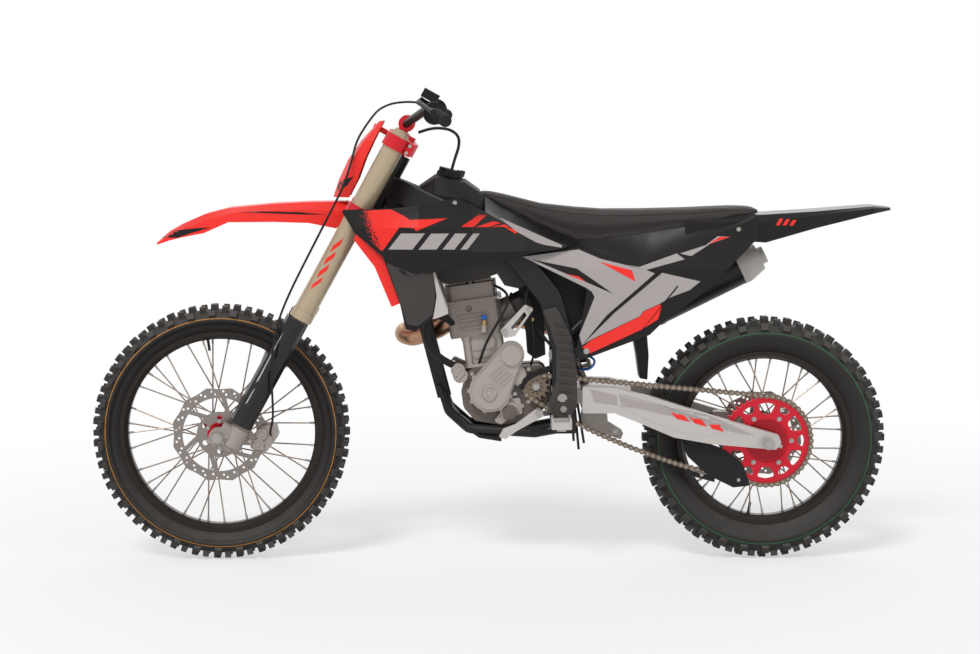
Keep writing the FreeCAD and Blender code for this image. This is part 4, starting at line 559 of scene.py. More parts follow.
def buildLinks():
    # A chain side plate on each point, turned along the run: two round ends and a waist.
    tree, given = newTree("chainLinks", {"Pitch": 0.0159, "End Radius": 0.007, "Thickness": 0.002})
    ends = []
    for share in (-0.5, 0.5):
        shift = combined(tree, X=math2(tree, "MULTIPLY", given["Pitch"], share))
        ends.append(moved(tree, rod(tree, 12, given["End Radius"], given["Thickness"]), shift))
    waist = combined(tree, X=given["Pitch"], Y=math2(tree, "MULTIPLY", given["End Radius"], 1.25),
                     Z=math2(tree, "MULTIPLY", given["Thickness"], 0.9))
    ends.append(addNode(tree, "GeometryNodeMeshCube", {"Size": waist}).outputs["Mesh"])
    plate = moved(tree, joined(tree, ends), turn=(math.pi / 2, 0, 0))
    return scatter(tree, given, plate, Rotation=aligned(tree, readName(tree, "aim"), "X", pivot="Y"))


def buildPins():
    # A round pin across the bike on each point.
    tree, given = newTree("pins", {"Radius": 0.0025, "Length": 0.02, "Sides": 10})
    pin = moved(tree, rod(tree, given["Sides"], given["Radius"], given["Length"]), turn=(math.pi / 2, 0, 0))
    return scatter(tree, given, pin)


def buildStitches():
    # Short raised threads at an even step along the lines given.
    tree, given = newTree("stitches", {"Step": 0.006, "Thread": 0.0006})
    even = evenCurve(tree, given, "LENGTH", Length=given["Step"])
    ball = addNode(tree, "GeometryNodeMeshUVSphere", {"Segments": 6, "Rings": 4, "Radius": given["Thread"]})
    thread = moved(tree, ball.outputs["Mesh"], scale=(3.6, 1, 1))
    return scatter(tree, given, thread, even, Rotation=aligned(tree, tangent(tree), "X"))


def buildRibs():
    # Round ribs at an even step along a straight line, such as those of a handlebar grip.
    tree, given = newTree("ribs", {"Count": 20, "Radius": 0.016, "Rib": 0.001})
    even = evenCurve(tree, given, "COUNT", Count=given["Count"])
    circle, profile = (addNode(tree, "GeometryNodeCurvePrimitiveCircle", {"Resolution": steps, "Radius": given[name]})
                       for steps, name in ((24, "Radius"), (6, "Rib")))
    ring = addNode(tree, "GeometryNodeCurveToMesh", {"Curve": circle.outputs[0], "Profile Curve": profile.outputs[0]})
    return scatter(tree, given, ring.outputs[0], even, Rotation=aligned(tree, tangent(tree), "Z"))


def buildKnobs():
    # A tread knob on each point: a block that narrows outward, turned so that it stands along its aim.
    tree, given = newTree("knobs", {"Foot": 1.12})
    block = addNode(tree, "GeometryNodeMeshCube", {"Size": (1.0, 1.0, 1.0)})
    place = addNode(tree, "GeometryNodeInputPosition").outputs[0]
    parts = addNode(tree, "ShaderNodeSeparateXYZ", {0: place})
    low = addNode(tree, "FunctionNodeCompare", {"A": parts.outputs["Z"], "B": 0.0}, operation="LESS_THAN")
    flared = vectorMath(tree, "MULTIPLY", place, combined(tree, X=given["Foot"], Y=given["Foot"], Z=1.0))
    knob = addNode(tree, "GeometryNodeSetPosition", {"Geometry": block.outputs["Mesh"], "Selection": low.outputs[0],
                                                     "Position": flared})
    turn = aligned(tree, readName(tree, "aim"), "Z", "X", Rotation=aligned(tree, readName(tree, "around"), "X"))
    return scatter(tree, given, knob.outputs[0], Rotation=turn, Scale=readName(tree, "block"))


trees = {"knobs": buildKnobs(), "fasteners": buildFasteners(), "links": buildLinks(), "pins": buildPins(),
         "stitches": buildStitches(), "ribs": buildRibs()}
print("trees built")


def pointMesh(name, points, edges=(), **facts):
    # Points in metres, with a number or a direction for each where a tree reads one.
    data = bpy.data.meshes.new(name)
    data.from_pydata(points, edges, [])
    for label, values in facts.items():
        if isinstance(values[0], (int, float)):
            data.attributes.new(label, "FLOAT", "POINT").data.foreach_set("value", values)
        else:
            flat = [number for value in values for number in value]
            data.attributes.new(label, "FLOAT_VECTOR", "POINT").data.foreach_set("vector", flat)
    return link(bpy.data.objects.new(name, data))


def grow(thing, tree, body, slot, finish, **values):
    # Runs a tree on an object, keeps the plain mesh and rides it on a body.
    modifier = alter(thing, "NODES", node_group=trees[tree])
    values["Finish"] = finishes[finish]
    for item in trees[tree].interface.items_tree:
        if item.in_out == "INPUT" and item.name in values:
            modifier[item.identifier] = values[item.name]
    applyModifiers(thing)
    for label in ("aim", "width", "around", "block"):
        if label in thing.data.attributes:
            thing.data.attributes.remove(thing.data.attributes[label])
    return settle(thing, None, body)


sideNames = {-1: "Left", 1: "Right"}


# ---- graphics laid on the panels, as thin films
# Outlines are (x, z) in millimetres; higher layers lie over lower ones.
graphics = {
    "shroud": {"on": "radiator_shrouds",
               "stations": [430, 540, 680, 820], "levels": [760, 850, 915, 960], "lift": 1.1, "marks": [
        ("lowerGrey", "greyPlastic", 1, [(455, 824), (524, 796), (576, 796), (581, 781), (583, 730), (575, 685),
                                         (538, 656), (510, 660)]),
        ("redMain", "speckleRed", 1, [(384, 959), (467, 963), (502, 946), (517, 936), (615, 939), (533, 907),
                                      (528, 915), (490, 917), (445, 854), (369, 911)]),
        ("bars1", "speckleBars", 1, [(652, 917), (684, 916), (720, 946), (698, 947)]),
        ("bars2", "speckleBars", 1, [(690, 916), (723, 915), (758, 925), (737, 930)]),
        ("bars3", "speckleBars", 1, [(729, 915), (757, 915), (780, 914), (766, 921)]),
        ("bars4", "speckleBars", 1, [(765, 915), (797, 895), (799, 903), (788, 909)]),
        ("blade", "greyDecal", 2, [(752, 940), (920, 864), (918, 858), (871, 866), (850, 873), (796, 903)]),
        ("slashA", "greyDecal", 2, [(461, 859), (494, 901), (557, 901), (524, 859)]),
        ("slashB", "greyDecal", 2, [(540, 859), (573, 900), (620, 900), (587, 859)]),
        ("slashC", "greyDecal", 2, [(603, 859), (636, 900), (667, 899), (634, 858)]),
        ("slashD", "greyDecal", 2, [(650, 858), (683, 899), (701, 899), (668, 858)]),
    ]},
    "sidePanel": {"on": "side_panels",
                  "stations": [960, 1120, 1290], "levels": [680, 800, 880], "lift": 1.3, "marks": [
        ("greyFront", "greyDecal", 1, [(815, 833), (964, 852), (1021, 828), (1142, 799), (1166, 790), (1058, 684),
                                       (973, 598), (966, 625), (1006, 726), (999, 741), (982, 752)]),
        ("greyUpper", "greyDecal", 1, [(1096, 812), (1124, 807), (1224, 842), (1245, 827), (1142, 799)]),
        ("greyRear", "greyDecal", 1, [(1183, 792), (1286, 769), (1258, 746), (1210, 728), (1176, 708), (1134, 689),
                                      (1127, 677), (997, 613), (973, 598), (1058, 684)]),
        ("wedge", "glossBlack", 2, [(843, 825), (959, 802), (1056, 735), (982, 767)]),
        ("redA", "redPlastic", 3, [(930, 788), (964, 781), (983, 767)]),
        ("redB", "redPlastic", 2, [(1019, 820), (1105, 798), (1114, 768)]),
        ("diagA", "glossBlack", 2, [(1167, 791), (1185, 792), (1058, 684), (973, 598), (1039, 679)]),
        ("diagB", "glossBlack", 2, [(1225, 758), (1228, 755), (1134, 640), (1131, 640)]),
        ("redBand", "redPlastic", 2, [(973, 591), (997, 611), (1127, 676), (1135, 688), (1179, 708), (1184, 703),
                                      (1174, 668), (1134, 642), (995, 576), (988, 586)]),
        ("stripGrey", "greyDecal", 1, [(1233, 842), (1262, 835), (1334, 887), (1368, 885), (1315, 868)]),
        ("stripRed", "redPlastic", 2, [(1308, 867), (1340, 885), (1368, 885)]),
    ]},
    "noseFender": {"body": "steering", "on": "front_fender", "cell": 7, "facing": 0.15, "marks": [
        ("tip", "glossBlack", 1, [(-150, 880), (-113, 899), (-57, 906), (-19, 908), (-73, 892), (-108, 880)]),
        ("line", "glossBlack", 1, [(58, 949), (120, 951), (222, 949), (288, 942), (222, 943), (120, 947)]),
    ]},
    "arm": {"on": "swingarm", "marks": [
        ("grey", "greyDecal", 1, [(996, 478), (1146, 440), (1312, 408), (1438, 352), (1394, 358), (1265, 391),
                                  (1130, 424), (1007, 443)]),
        ("stripe1", "redPlastic", 2, [(1213, 414), (1248, 406), (1265, 388), (1230, 396)]),
        ("stripe2", "redPlastic", 2, [(1262, 403), (1297, 394), (1310, 375), (1278, 384)]),
        ("stripe3", "redPlastic", 2, [(1310, 391), (1345, 380), (1356, 361), (1324, 370)]),
    ]},
    "tail": {"on": "rear_fender", "marks": [
        ("bar1", "redPlastic", 1, [(1492, 914), (1502, 931), (1512, 931), (1502, 914)]),
        ("bar2", "redPlastic", 1, [(1510, 914), (1520, 930), (1530, 930), (1520, 914)]),
        ("bar3", "redPlastic", 1, [(1528, 913), (1538, 928), (1548, 928), (1538, 913)]),
    ]},
    "forkTube": {"body": "steering", "on": "fork_tubes", "cell": 4, "facing": 0.2, "marks": [
        ("bar1", "redPlastic", 1, [(304, 846), (332, 866), (340, 884), (312, 864)]),
        ("bar2", "redPlastic", 1, [(286, 812), (314, 832), (322, 850), (294, 830)]),
        ("bar3", "redPlastic", 1, [(268, 778), (296, 798), (304, 816), (276, 796)]),
        ("bar4", "redPlastic", 1, [(252, 748), (280, 768), (286, 782), (258, 762)]),
    ]},
    "forkGuard": {"body": "steering", "on": "fork_guards", "cell": 5, "facing": 0.1, "marks": [
        ("stripe1", "whiteDecal", 1, [(170, 620), (180, 634), (112, 505), (104, 498)]),
        ("stripe2", "whiteDecal", 1, [(98, 480), (104, 486), (82, 446), (76, 442)]),
    ]},
    "plate": {"body": "steering", "on": "number_plate", "cell": 6, "facing": 0.1, "marks": [
        ("stripe", "glossBlack", 1, [(321, 1018), (331, 1032), (366, 1046), (348, 1020), (323, 1006)]),
    ]},
}
filmThickness = 0.25  # millimetres, and the step from one layer to the next


def cutAcross(work, look):
    # Cuts a flat outline into cells, and at the panel's own creases, so that it can follow the panel.
    step = look.get("cell", 14) / 1000
    for axis, own in ((0, "stations"), (2, "levels")):
        values = [vert.co[axis] for vert in work.verts]
        direction = Vector((axis == 0, 0, axis == 2))
        low, high = min(values), max(values)
        cuts = [low + index * step for index in range(1, int((high - low) / step) + 1)]
        cuts += [(level - seatPoint[axis]) / 1000 for level in look.get(own, ())]
        for cut in cuts:
            bmesh.ops.bisect_plane(work, geom=work.verts[:] + work.edges[:] + work.faces[:], dist=1e-7,
                                   plane_co=direction * cut, plane_no=direction)


def layFilm(outline, look, side, layer):
    work = bmesh.new()
    work.faces.new([work.verts.new(at(x, 0, z)) for x, z in outline])
    work.normal_update()
    bmesh.ops.triangulate(work, faces=work.faces[:])
    cutAcross(work, look)
    bmesh.ops.triangulate(work, faces=work.faces[:])
    lift = (look.get("lift", 0.7) + filmThickness * (layer - 1)) / 1000
    depth, edge = {}, {}
    for vert in work.verts:
        hit = sideHit([look["on"]], vert.co.x * 1000 + seatPoint.x, vert.co.z * 1000 + seatPoint.z, side)
        if hit is not None:
            (depth if hit[1].y * side > look.get("facing", 0.55) else edge)[vert] = hit[0].y
    # Corners over a rounded border take the depth of the nearest place on the face, or their own if farther out.
    faced = list(depth.items())
    for vert in work.verts:
        if vert not in depth:
            near = min(faced, key=lambda item: (item[0].co - vert.co).length_squared)[1]
            depth[vert] = side * max(side * near, side * edge.get(vert, near))
    for vert in work.verts:
        vert.co.y = depth[vert] + side * lift
    faceAlong(work, Vector((0, side, 0)))
    return work


def makeGraphics(settings):
    for label, look in settings.items():
        for side in sideNames:
            for name, finish, layer, outline in look["marks"]:
                work = layFilm(outline, look, side, layer)
                film = fromBmesh("%s_%s_%s" % (label, name, sideNames[side].lower()), work)
                makeWall(film, filmThickness)
                settle(film, finish, look.get("body", "chassis"))


makeGraphics(graphics)
print("graphics laid")


# ---- seat
seatSettings = {"voxel": 0.006, "start": 0.003, "pressure": 4.0, "frames": 20, "cap": 0.0045,
                "stitchStep": 0.0065, "stitchLine": 4.5, "welt": 0.0013, "underside": -0.35,
                "rows": [(718, 35, 998), (760, 44, 990), (867, 55, 961), (961, 63, 948), (1030, 68, 944),
                         (1135, 70.5, 945), (1260, 70.5, 950), (1373, 66, 957), (1440, 57, 957)]}


def padFrom(node, look):
    work = bmesh.new()
    work.from_mesh(nodes[node].data)
    bmesh.ops.remove_doubles(work, verts=work.verts[:], dist=0.0001)
    bmesh.ops.recalc_face_normals(work, faces=work.faces[:])
    for vert in work.verts:
        vert.co -= vert.normal * look["start"]
    pad = fromBmesh("seatPad", work)
    alter(pad, "REMESH", mode="VOXEL", voxel_size=look["voxel"])
    return applyModifiers(pad)


def swell(pad, look):
    # The cover is held along its underside and pressed out by the foam above it.
    held = pad.vertex_groups.new(name="held")
    held.add([vert.index for vert in pad.data.vertices if vert.normal.z < look["underside"]], 1.0, "REPLACE")
    before = [vert.co.copy() for vert in pad.data.vertices]
    cloth = alter(pad, "CLOTH")
    cloth.settings.vertex_group_mass = "held"
    cloth.settings.use_pressure = True
    cloth.settings.uniform_pressure_force = look["pressure"]
    cloth.settings.effector_weights.gravity = 0
    cloth.settings.quality = 6
    cloth.point_cache.frame_start = 1
    cloth.point_cache.frame_end = look["frames"]
    scene = bpy.context.scene
    for frameNumber in range(1, look["frames"] + 1):
        scene.frame_set(frameNumber)
    applyModifiers(pad)
    scene.frame_set(1)
    for vert, start in zip(pad.data.vertices, before):
        step = vert.co - start
        if step.length > look["cap"]:
            vert.co = start + step.normalized() * look["cap"]
    pad.vertex_groups.clear()


def seamLine(name, tree, rows, side, inward):
    # A line along the seat, laid on the finished cover.
    flat = []
    for first, second in zip(rows, rows[1:]):
        count = max(int((second[0] - first[0]) / 8), 1)
        flat += [Vector(first).lerp(Vector(second), index / count) for index in range(count)]
    flat.append(Vector(rows[-1]))
    points = []
    for x, y, z in flat:
        spot, normal, _, _ = tree.find_nearest(at(x, side * (y - inward), z))
        points.append(spot + normal * 0.0002)
    return pointMesh(name, points, [(index, index + 1) for index in range(len(points) - 1)])


def makeSeat(look):
    pad = padFrom("seat", look)
    swell(pad, look)
    alter(pad, "SUBSURF", levels=1, render_levels=1)
    applyModifiers(pad)
    for face in pad.data.polygons:
        face.use_smooth = True
    settle(pad, "seat", "chassis", "seat")
    tree = surfaceTree(pad.data)
    for side, label in sideNames.items():
        welt = seamLine("seatWelt" + label, tree, look["rows"], side, 0)
        alter(welt, "SKIN")
        for item in welt.data.skin_vertices[0].data:
            item.radius = (look["welt"], look["welt"])
        alter(welt, "SUBSURF", levels=1, render_levels=1)
        applyModifiers(welt)
        settle(welt, "seat", "chassis")
        thread = seamLine("seatStitches" + label, tree, look["rows"], side, look["stitchLine"])
        grow(thread, "stitches", "chassis", "seat_cover", "thread", Step=look["stitchStep"])


makeSeat(seatSettings)
print("seat made")


# ---- chain
chainSettings = {"pitch": 15.875, "plateHeight": 14.6, "inner": 4.4, "outer": 6.7, "plate": 1.9, "endRadius": 7.1,
                 "pinRadius": 2.7, "pinEnds": 0.8, "rollerRadius": 5.08, "line": -73}


def chainCentres(look):
    # Each roller centre is midway between an outer and an inner corner of the band of side plates.
    places = nodes["drive_chain"].data.vertices
    low = min(vert.co.y for vert in places)
    corners = sorted({(round(vert.co.x * 1000, 2), round(vert.co.z * 1000, 2)) for vert in places
                      if vert.co.y < low + 1e-5})
    centres = []
    for index, first in enumerate(corners):
        for second in corners[index + 1:]:
            if second[0] - first[0] > 15:
                break
            if abs(math.dist(first, second) - look["plateHeight"]) < 0.1:
                centres.append(((first[0] + second[0]) / 2, (first[1] + second[1]) / 2))
    loop = [centres.pop(0)]
    while centres:
        near = min(centres, key=lambda spot: abs(math.dist(spot, loop[-1]) - look["pitch"]))
        if abs(math.dist(near, loop[-1]) - look["pitch"]) > 0.6:
            break
        centres.remove(near)
        loop.append(near)
    return loop


def makeChain(look):
    loop = chainCentres(look)
    line = at(0, look["line"], 0).y
    plates, aims = [], []
    for index, (spot, after) in enumerate(zip(loop, loop[1:] + loop[:1])):
        middle = Vector(((spot[0] + after[0]) / 2000, line, (spot[1] + after[1]) / 2000))
        out = look["outer"] if index % 2 else look["inner"]
        for side in sideNames:
            plates.append(middle + Vector((0, side * out / 1000, 0)))
            aims.append(((after[0] - spot[0]) / 1000, 0, (after[1] - spot[1]) / 1000))
    grow(pointMesh("chainPlates", plates, aim=aims), "links", "chassis", "steel", "chain", **{
        "Pitch": look["pitch"] / 1000, "End Radius": look["endRadius"] / 1000, "Thickness": look["plate"] / 1000})
    rollers = [Vector((x / 1000, line, z / 1000)) for x, z in loop]
    grow(pointMesh("chainPins", rollers), "pins", "chassis", "steel", "steel", Radius=look["pinRadius"] / 1000,
         Length=(2 * look["outer"] + look["plate"] + look["pinEnds"]) / 1000)
    tubes = grow(pointMesh("chainRollers", rollers), "pins", "chassis", "steel", "chain",
                 Radius=look["rollerRadius"] / 1000, Length=(2 * look["inner"] - look["plate"]) / 1000)
    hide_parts("drive_chain")


makeChain(chainSettings)
print("chain made")


# ---- wheel sprocket, with the windows between its bolts
# Teeth are (degrees from a roller, radius in mm). A window is (degrees from a bolt, inner radius, outer radius,
# half angle inside, half angle outside), and there are six of each.
sprocketSettings = {"teeth": 48, "thick": 6, "bore": 60, "edge": 0.5, "soft": 0.3, "crown": 3,
                    "windows": [(30, 73, 101, 9, 14), (0, 84, 100, 5, 10)],
                    "tooth": [(0, 115.9), (1.6, 116.9), (2.6, 121.0), (3.2, 124.2), (4.3, 124.2), (4.9, 121.0),
                              (5.9, 116.9)]}


def softLoop(corners, share):
    # Rounds each corner of a closed outline with a short curve.
    points = []
    count = len(corners)
    for index in range(count):
        before, corner, after = corners[index - 1], corners[index], corners[(index + 1) % count]
        start, end = corner.lerp(before, share), corner.lerp(after, share)
        for step in range(5):
            part = step / 4
            points.append(start.lerp(corner, part).lerp(corner.lerp(end, part), part))
    return points


def spun(radius, degrees):
    return Vector((math.cos(math.radians(degrees)) * radius, math.sin(math.radians(degrees)) * radius))


def makeSprocket(look, name):
    hub = at(*rearAxle)
    pitch = chainSettings["pitch"] / 2 / math.sin(math.pi / look["teeth"])
    held = [Vector((x - hub.x * 1000, z - hub.z * 1000)) for x, z in chainCentres(chainSettings)]
    first = min(held, key=lambda spot: abs(spot.length - pitch))
    start = math.degrees(math.atan2(first.y, first.x))
    step = 360 / look["teeth"]
    outlines = [[spun(radius, start + step * index + turn) for index in range(look["teeth"])
                 for turn, radius in look["tooth"]]]
    outlines.append([spun(look["bore"], 6 * index) for index in range(60)])
    for turn, low, high, narrow, wide in look["windows"]:
        for middle in range(turn, 360 + turn, 60):
            corners = [(low, -narrow), (low, narrow), (high, wide), (high + look["crown"], 0), (high, -wide)]
            outlines.append(softLoop([spun(radius, middle + away) for radius, away in corners], look["soft"]))
    data = bpy.data.curves.new("sprocketOutline", "CURVE")
    data.dimensions = "2D"
    data.fill_mode = "BOTH"
    data.extrude = look["thick"] / 2000 - look["edge"] / 1000
    data.bevel_depth = look["edge"] / 1000
    data.offset = -look["edge"] / 1000
    for outline in outlines:
        line = data.splines.new("POLY")
        line.points.add(len(outline) - 1)
        for point, spot in zip(line.points, outline):
            point.co = (spot.x / 1000, spot.y / 1000, 0, 1)
        line.use_cyclic_u = True
    sprocket = fromCurve("wheelSprocket", link(bpy.data.objects.new("sprocketOutline", data)))
    place = Matrix.Translation((hub.x, at(0, chainSettings["line"], 0).y, hub.z))
    sprocket.data.transform(place @ Matrix.Rotation(math.pi / 2, 4, "X"))
    sprocket.data.set_sharp_from_angle(angle=math.radians(30))
    settle(sprocket, "rearHub", "rear_wheel", name)
    surfaces[name] = surfaceTree(sprocket.data)


makeSprocket(sprocketSettings, "rear_sprocket")
print("sprocket made")


# ---- bolts and other small metal
# For each node: (x, z, the sides it is on, radius). They face outward and sit on the node.
boltSettings = {
    "bodyBolts": {"body": "chassis", "places": {
        "radiator_shrouds": [(635, 978, (-1, 1), 6)],
        "side_panels": [(985, 582, (-1,), 8), (1390, 905, (-1, 1), 6)],
        "frame_guards": [(923, 455, (-1, 1), 7), (925, 424, (-1, 1), 9)],
        "engine_stays": [(834, 690, (-1, 1), 8), (768, 630, (-1, 1), 8)],
        "crankcase": [(681, 512, (-1,), 6), (796, 458, (-1,), 6), (803, 486, (-1,), 6), (815, 425, (-1,), 6),
                      (833, 524, (-1,), 6), (833, 437, (-1,), 6)],
        "shock_linkage": [(1068, 350, (-1,), 9)], "swingarm": [(1456, 331, (1,), 5)],
        "chain_guide": [(1300, 240, (-1,), 5), (1400, 226, (-1,), 5)], "shift_lever": [(858, 414, (-1,), 9)],
        "cylinder_head": [(752, 720, (-1,), 5)], "rear_caliper": [(1363, 356, (1,), 6), (1386, 388, (1,), 5)],
    }},
    "forkBolts": {"body": "steering", "places": {
        "fork_legs": [(14, 336, (-1, 1), 4.5), (24, 352, (-1, 1), 4.5)],
        "fork_clamps": [(517, 1126, (-1, 1), 5), (507, 1108, (-1, 1), 5)],
        "front_caliper": [(117, 318, (-1,), 5), (84, 335, (-1,), 6)],
    }},
}


def growHeads(name, body, places, finish="steel", **sizes):
    # A head on each (place, direction, radius in mm).
    points, aims, widths = zip(*places)
    grow(pointMesh(name, points, aim=aims, width=[width / 1000 for width in widths]), "fasteners", body, "steel",
         finish, **sizes)


def makeBolts(settings):
    for name, look in settings.items():
        growHeads(name, look["body"], [(sideHit([node], x, z, side)[0], (0, side, 0), radius)
                                       for node, bolts in look["places"].items()
                                       for x, z, sides, radius in bolts for side in sides])


makeBolts(boltSettings)

# A ring of heads: body, axle, radius of the ring, how many, turn in degrees, side, nodes below, radius of a head.
ringSettings = {
    "frontDiscBolts": ("front_wheel", frontAxle, 36, 6, 30, -1, ["front_hub", "front_disc"], 6),
    "rearDiscBolts": ("rear_wheel", rearAxle, 36, 6, 30, 1, ["rear_hub", "rear_disc"], 6),
    "sprocketBolts": ("rear_wheel", rearAxle, 68, 6, 0, -1, ["rear_sprocket"], 6.5),
    "driveNut": ("chassis", Vector((853, 0, 478)), 0.01, 1, 0, -1, ["front_sprocket", "crankcase"], 12),
}


def makeRings(settings):
    for name, (body, centre, radius, count, turn, side, on, width) in settings.items():
        places = []
        for index in range(count):
            angle = math.radians(360 / count * index + turn)
            hit = sideHit(on, centre.x + math.cos(angle) * radius, centre.z + math.sin(angle) * radius, side)
            if hit is not None:
                places.append((hit[0], (0, side, 0), width))
        growHeads(name, body, places)


makeRings(ringSettings)

print("bolts made")


# ---- wheels: tyres, nipples, valves and painted lines
# Planes, radii and reaches are in millimetres, and angles in degrees.
wheelSettings = {
    "front": {"body": "front_wheel", "axle": frontAxle, "left": -34, "right": 34, "flange": 46, "bed": 253.5,
              "valve": 98, "nipple": 3.6, "stem": 5, "line": (312, "orange")},
    "rear": {"body": "rear_wheel", "axle": rearAxle, "left": -42, "right": 38, "flange": 53, "bed": 215.5,
             "valve": -100, "nipple": 3.6, "stem": 5, "line": (289, "green")},
}
wheelDetail = {"sections": 144, "shortKnob": 0.8, "spokes": 18, "crossing": 38, "apart": 2.4, "dish": 0.12,
               "nippleDepth": 2, "lineSteps": 480, "lineHalf": 0.9, "lineLift": 0.3}


# Knob rows: how far out across the tyre, the radius of the foot's middle, the lean away from the axle's plane,
# the place along the step, and the block's length round the tyre, width across it and height.
tyreSettings = {
    "front": {"outer": 349, "half": 45, "seat": 266.5, "rimHalf": 25, "steps": 35, "knobs": [
        (11, 339.9, 3, 0.0, 17, 13, 17), (26, 336.5, 17, 0.5, 15, 12, 17), (37, 324, 58, 0.08, 18, 17, 14)]},
    "rear": {"outer": 331, "half": 54, "seat": 228.5, "rimHalf": 32, "steps": 32, "knobs": [
        (13, 320.8, 3, 0.0, 18, 15, 19), (31, 317, 15, 0.5, 17, 14, 19), (45, 303, 58, 0.08, 20, 20, 16)]},
}


def tyreWall(look):
    # The carcass as half a section from the crown to the bead and back inside.
    outer, half, seat = look["outer"], look["half"], look["seat"]
    base = outer - 15
    middle = (outer + seat) / 2
    rim = look["rimHalf"]
    return [(0, base + 1), (half * 0.22, base + 0.4), (half * 0.45, base - 2), (half * 0.66, base - 7),
            (half * 0.82, base - 14), (half * 0.92, base - 24), (half * 0.955, base - 36), (half * 0.93, middle - 4),
            (half * 0.84, middle - 16), (rim + 5, seat + 15), (rim - 1, seat + 11), (rim - 3, seat + 7),
            (rim - 3, seat), (rim - 8, seat), (rim - 8, seat + 10), (half * 0.8, middle - 8),
            (half * 0.84, middle + 8), (half * 0.6, base - 18), (0, base - 8)]


def wheelSpot(look, degrees, radius, across=0):
    angle = math.radians(degrees)
    return (look["axle"] + Vector((math.cos(angle) * radius, across, math.sin(angle) * radius)) - seatPoint) / 1000


def makeTyre(name, look, wheel):
    right = tyreWall(look)
    loop = right + [(-across, radius) for across, radius in reversed(right[1:-1])]
    work = bmesh.new()
    rings = []
    turn = 360 / wheelDetail["sections"]
    for index in range(wheelDetail["sections"]):
        rings.append([work.verts.new(wheelSpot(wheel, turn * index, radius, across)) for across, radius in loop])
    for ring, after in zip(rings, rings[1:] + rings[:1]):
        for index in range(len(loop)):
            follow = (index + 1) % len(loop)
            work.faces.new((ring[index], ring[follow], after[follow], after[index]))
    bmesh.ops.recalc_face_normals(work, faces=work.faces[:])
    carcass = fromBmesh(name + "Tyre", work)
    surfaces[name + "Tyre"] = surfaceTree(carcass.data)
    settle(carcass, "carcass", wheel["body"], name + "_tyre")
    points, aims, rounds, blocks = [], [], [], []
    step = 360 / look["steps"]
    for row, (across, radius, lean, share, length, width, height) in enumerate(look["knobs"]):
        tilt = math.radians(lean)
        for index in range(look["steps"]):
            turn = step * (index + share)
            angle = math.radians(turn)
            out = Vector((math.cos(angle), 0, math.sin(angle)))
            # Every second shoulder knob is shorter, as on a tyre for soft ground.
            short = wheelDetail["shortKnob"] if row == 2 and index % 2 else 1.0
            for side in sideNames:
                points.append(wheelSpot(wheel, turn, radius, side * across))
                aims.append(out * math.cos(tilt) + Vector((0, side * math.sin(tilt), 0)))
                rounds.append(Vector((-math.sin(angle), 0, math.cos(angle))))
                blocks.append((length / 1000, width * short / 1000, height / 1000))
    grow(pointMesh(name + "Knobs", points, aim=aims, around=rounds, block=blocks), "knobs", wheel["body"], "tyre",
         "tyre")


def spokeEnds(look):
    # The same lacing as the CAD spokes: crossed pairs from each flange.
    reach = look["flange"] - 3
    gap = 360 / wheelDetail["spokes"]
    for side, plane in ((0, look["left"] + 2.5), (1, look["right"] - 2.5)):
        for index in range(wheelDetail["spokes"]):
            lean = 1 if index % 2 else -1
            root = gap * (index + side / 2)
            yield (wheelSpot(look, root, reach, plane + lean * wheelDetail["apart"]),
                   wheelSpot(look, root + lean * wheelDetail["crossing"] + 3, look["bed"] + 1,
                             plane * wheelDetail["dish"]))


def makeWheelMetal(name, look):
    heads = []
    for inner, outer in spokeEnds(look):
        inward = (inner - outer).normalized()
        heads.append((outer + inward * (wheelDetail["nippleDepth"] / 1000), inward, look["nipple"]))
    growHeads(name + "Nipples", look["body"], heads, **{"Head Height": 3.6, "Head Width": 0.85})
    out = wheelSpot(look, look["valve"], 1) - wheelSpot(look, look["valve"], 0)
    stem = (wheelSpot(look, look["valve"], look["bed"] - 1), -out.normalized(), look["stem"])
    growHeads(name + "Valve", look["body"], [stem], "rubber", **{"Head Height": 6.0, "Head Width": 0.75,
                                                                "Head Sides": 12})


def paintedLine(name, look, side):
    # A fine line of paint round the tyre's wall.
    radius, finish = look["line"]
    work = bmesh.new()
    rows = []
    for index in range(wheelDetail["lineSteps"]):
        row = []
        for reach in (radius - wheelDetail["lineHalf"], radius + wheelDetail["lineHalf"]):
            spot = wheelSpot(look, 360 / wheelDetail["lineSteps"] * index, reach) * 1000 + seatPoint
            hit = sideHit([name + "Tyre"], spot.x, spot.z, side)
            row.append(work.verts.new(hit[0] + hit[1] * (wheelDetail["lineLift"] / 1000)))
        rows.append(row)
    for row, after in zip(rows, rows[1:] + rows[:1]):
        corners = (row[0], row[1], after[1], after[0])
        work.faces.new(corners if side > 0 else corners[::-1])
    settle(fromBmesh("%sTyreLine%s" % (name, sideNames[side]), work), finish, look["body"])


for name, look in wheelSettings.items():
    makeTyre(name, tyreSettings[name], look)
    makeWheelMetal(name, look)
    for side in sideNames:
        paintedLine(name, look, side)
# Nuts as (x, half width, z) with the radius on the left and on the right.
nutSettings = {"axleNuts": ("chassis", (1475, 133, 331), (16, 18)),
               "pivotNuts": ("chassis", (922, 112, 452), (13, 13)),
               "frontAxleNut": ("steering", (0, 128.5, 349), (15, 13))}


def makeNuts(settings):
    for name, (body, (x, y, z), widths) in settings.items():
        places = [(at(x, side * y, z), (0, side, 0), width) for side, width in zip(sideNames, widths)]
        growHeads(name, body, places, **{"Head Height": 0.7})


makeNuts(nutSettings)
print("wheels finished")


# ---- handlebar grips
gripSettings = {"end": (612, 400, 1199), "knee": (566, 205, 1226), "length": 128, "from": 14, "to": 126, "ribs": 26,
                "radius": 15.4, "rib": 0.9}


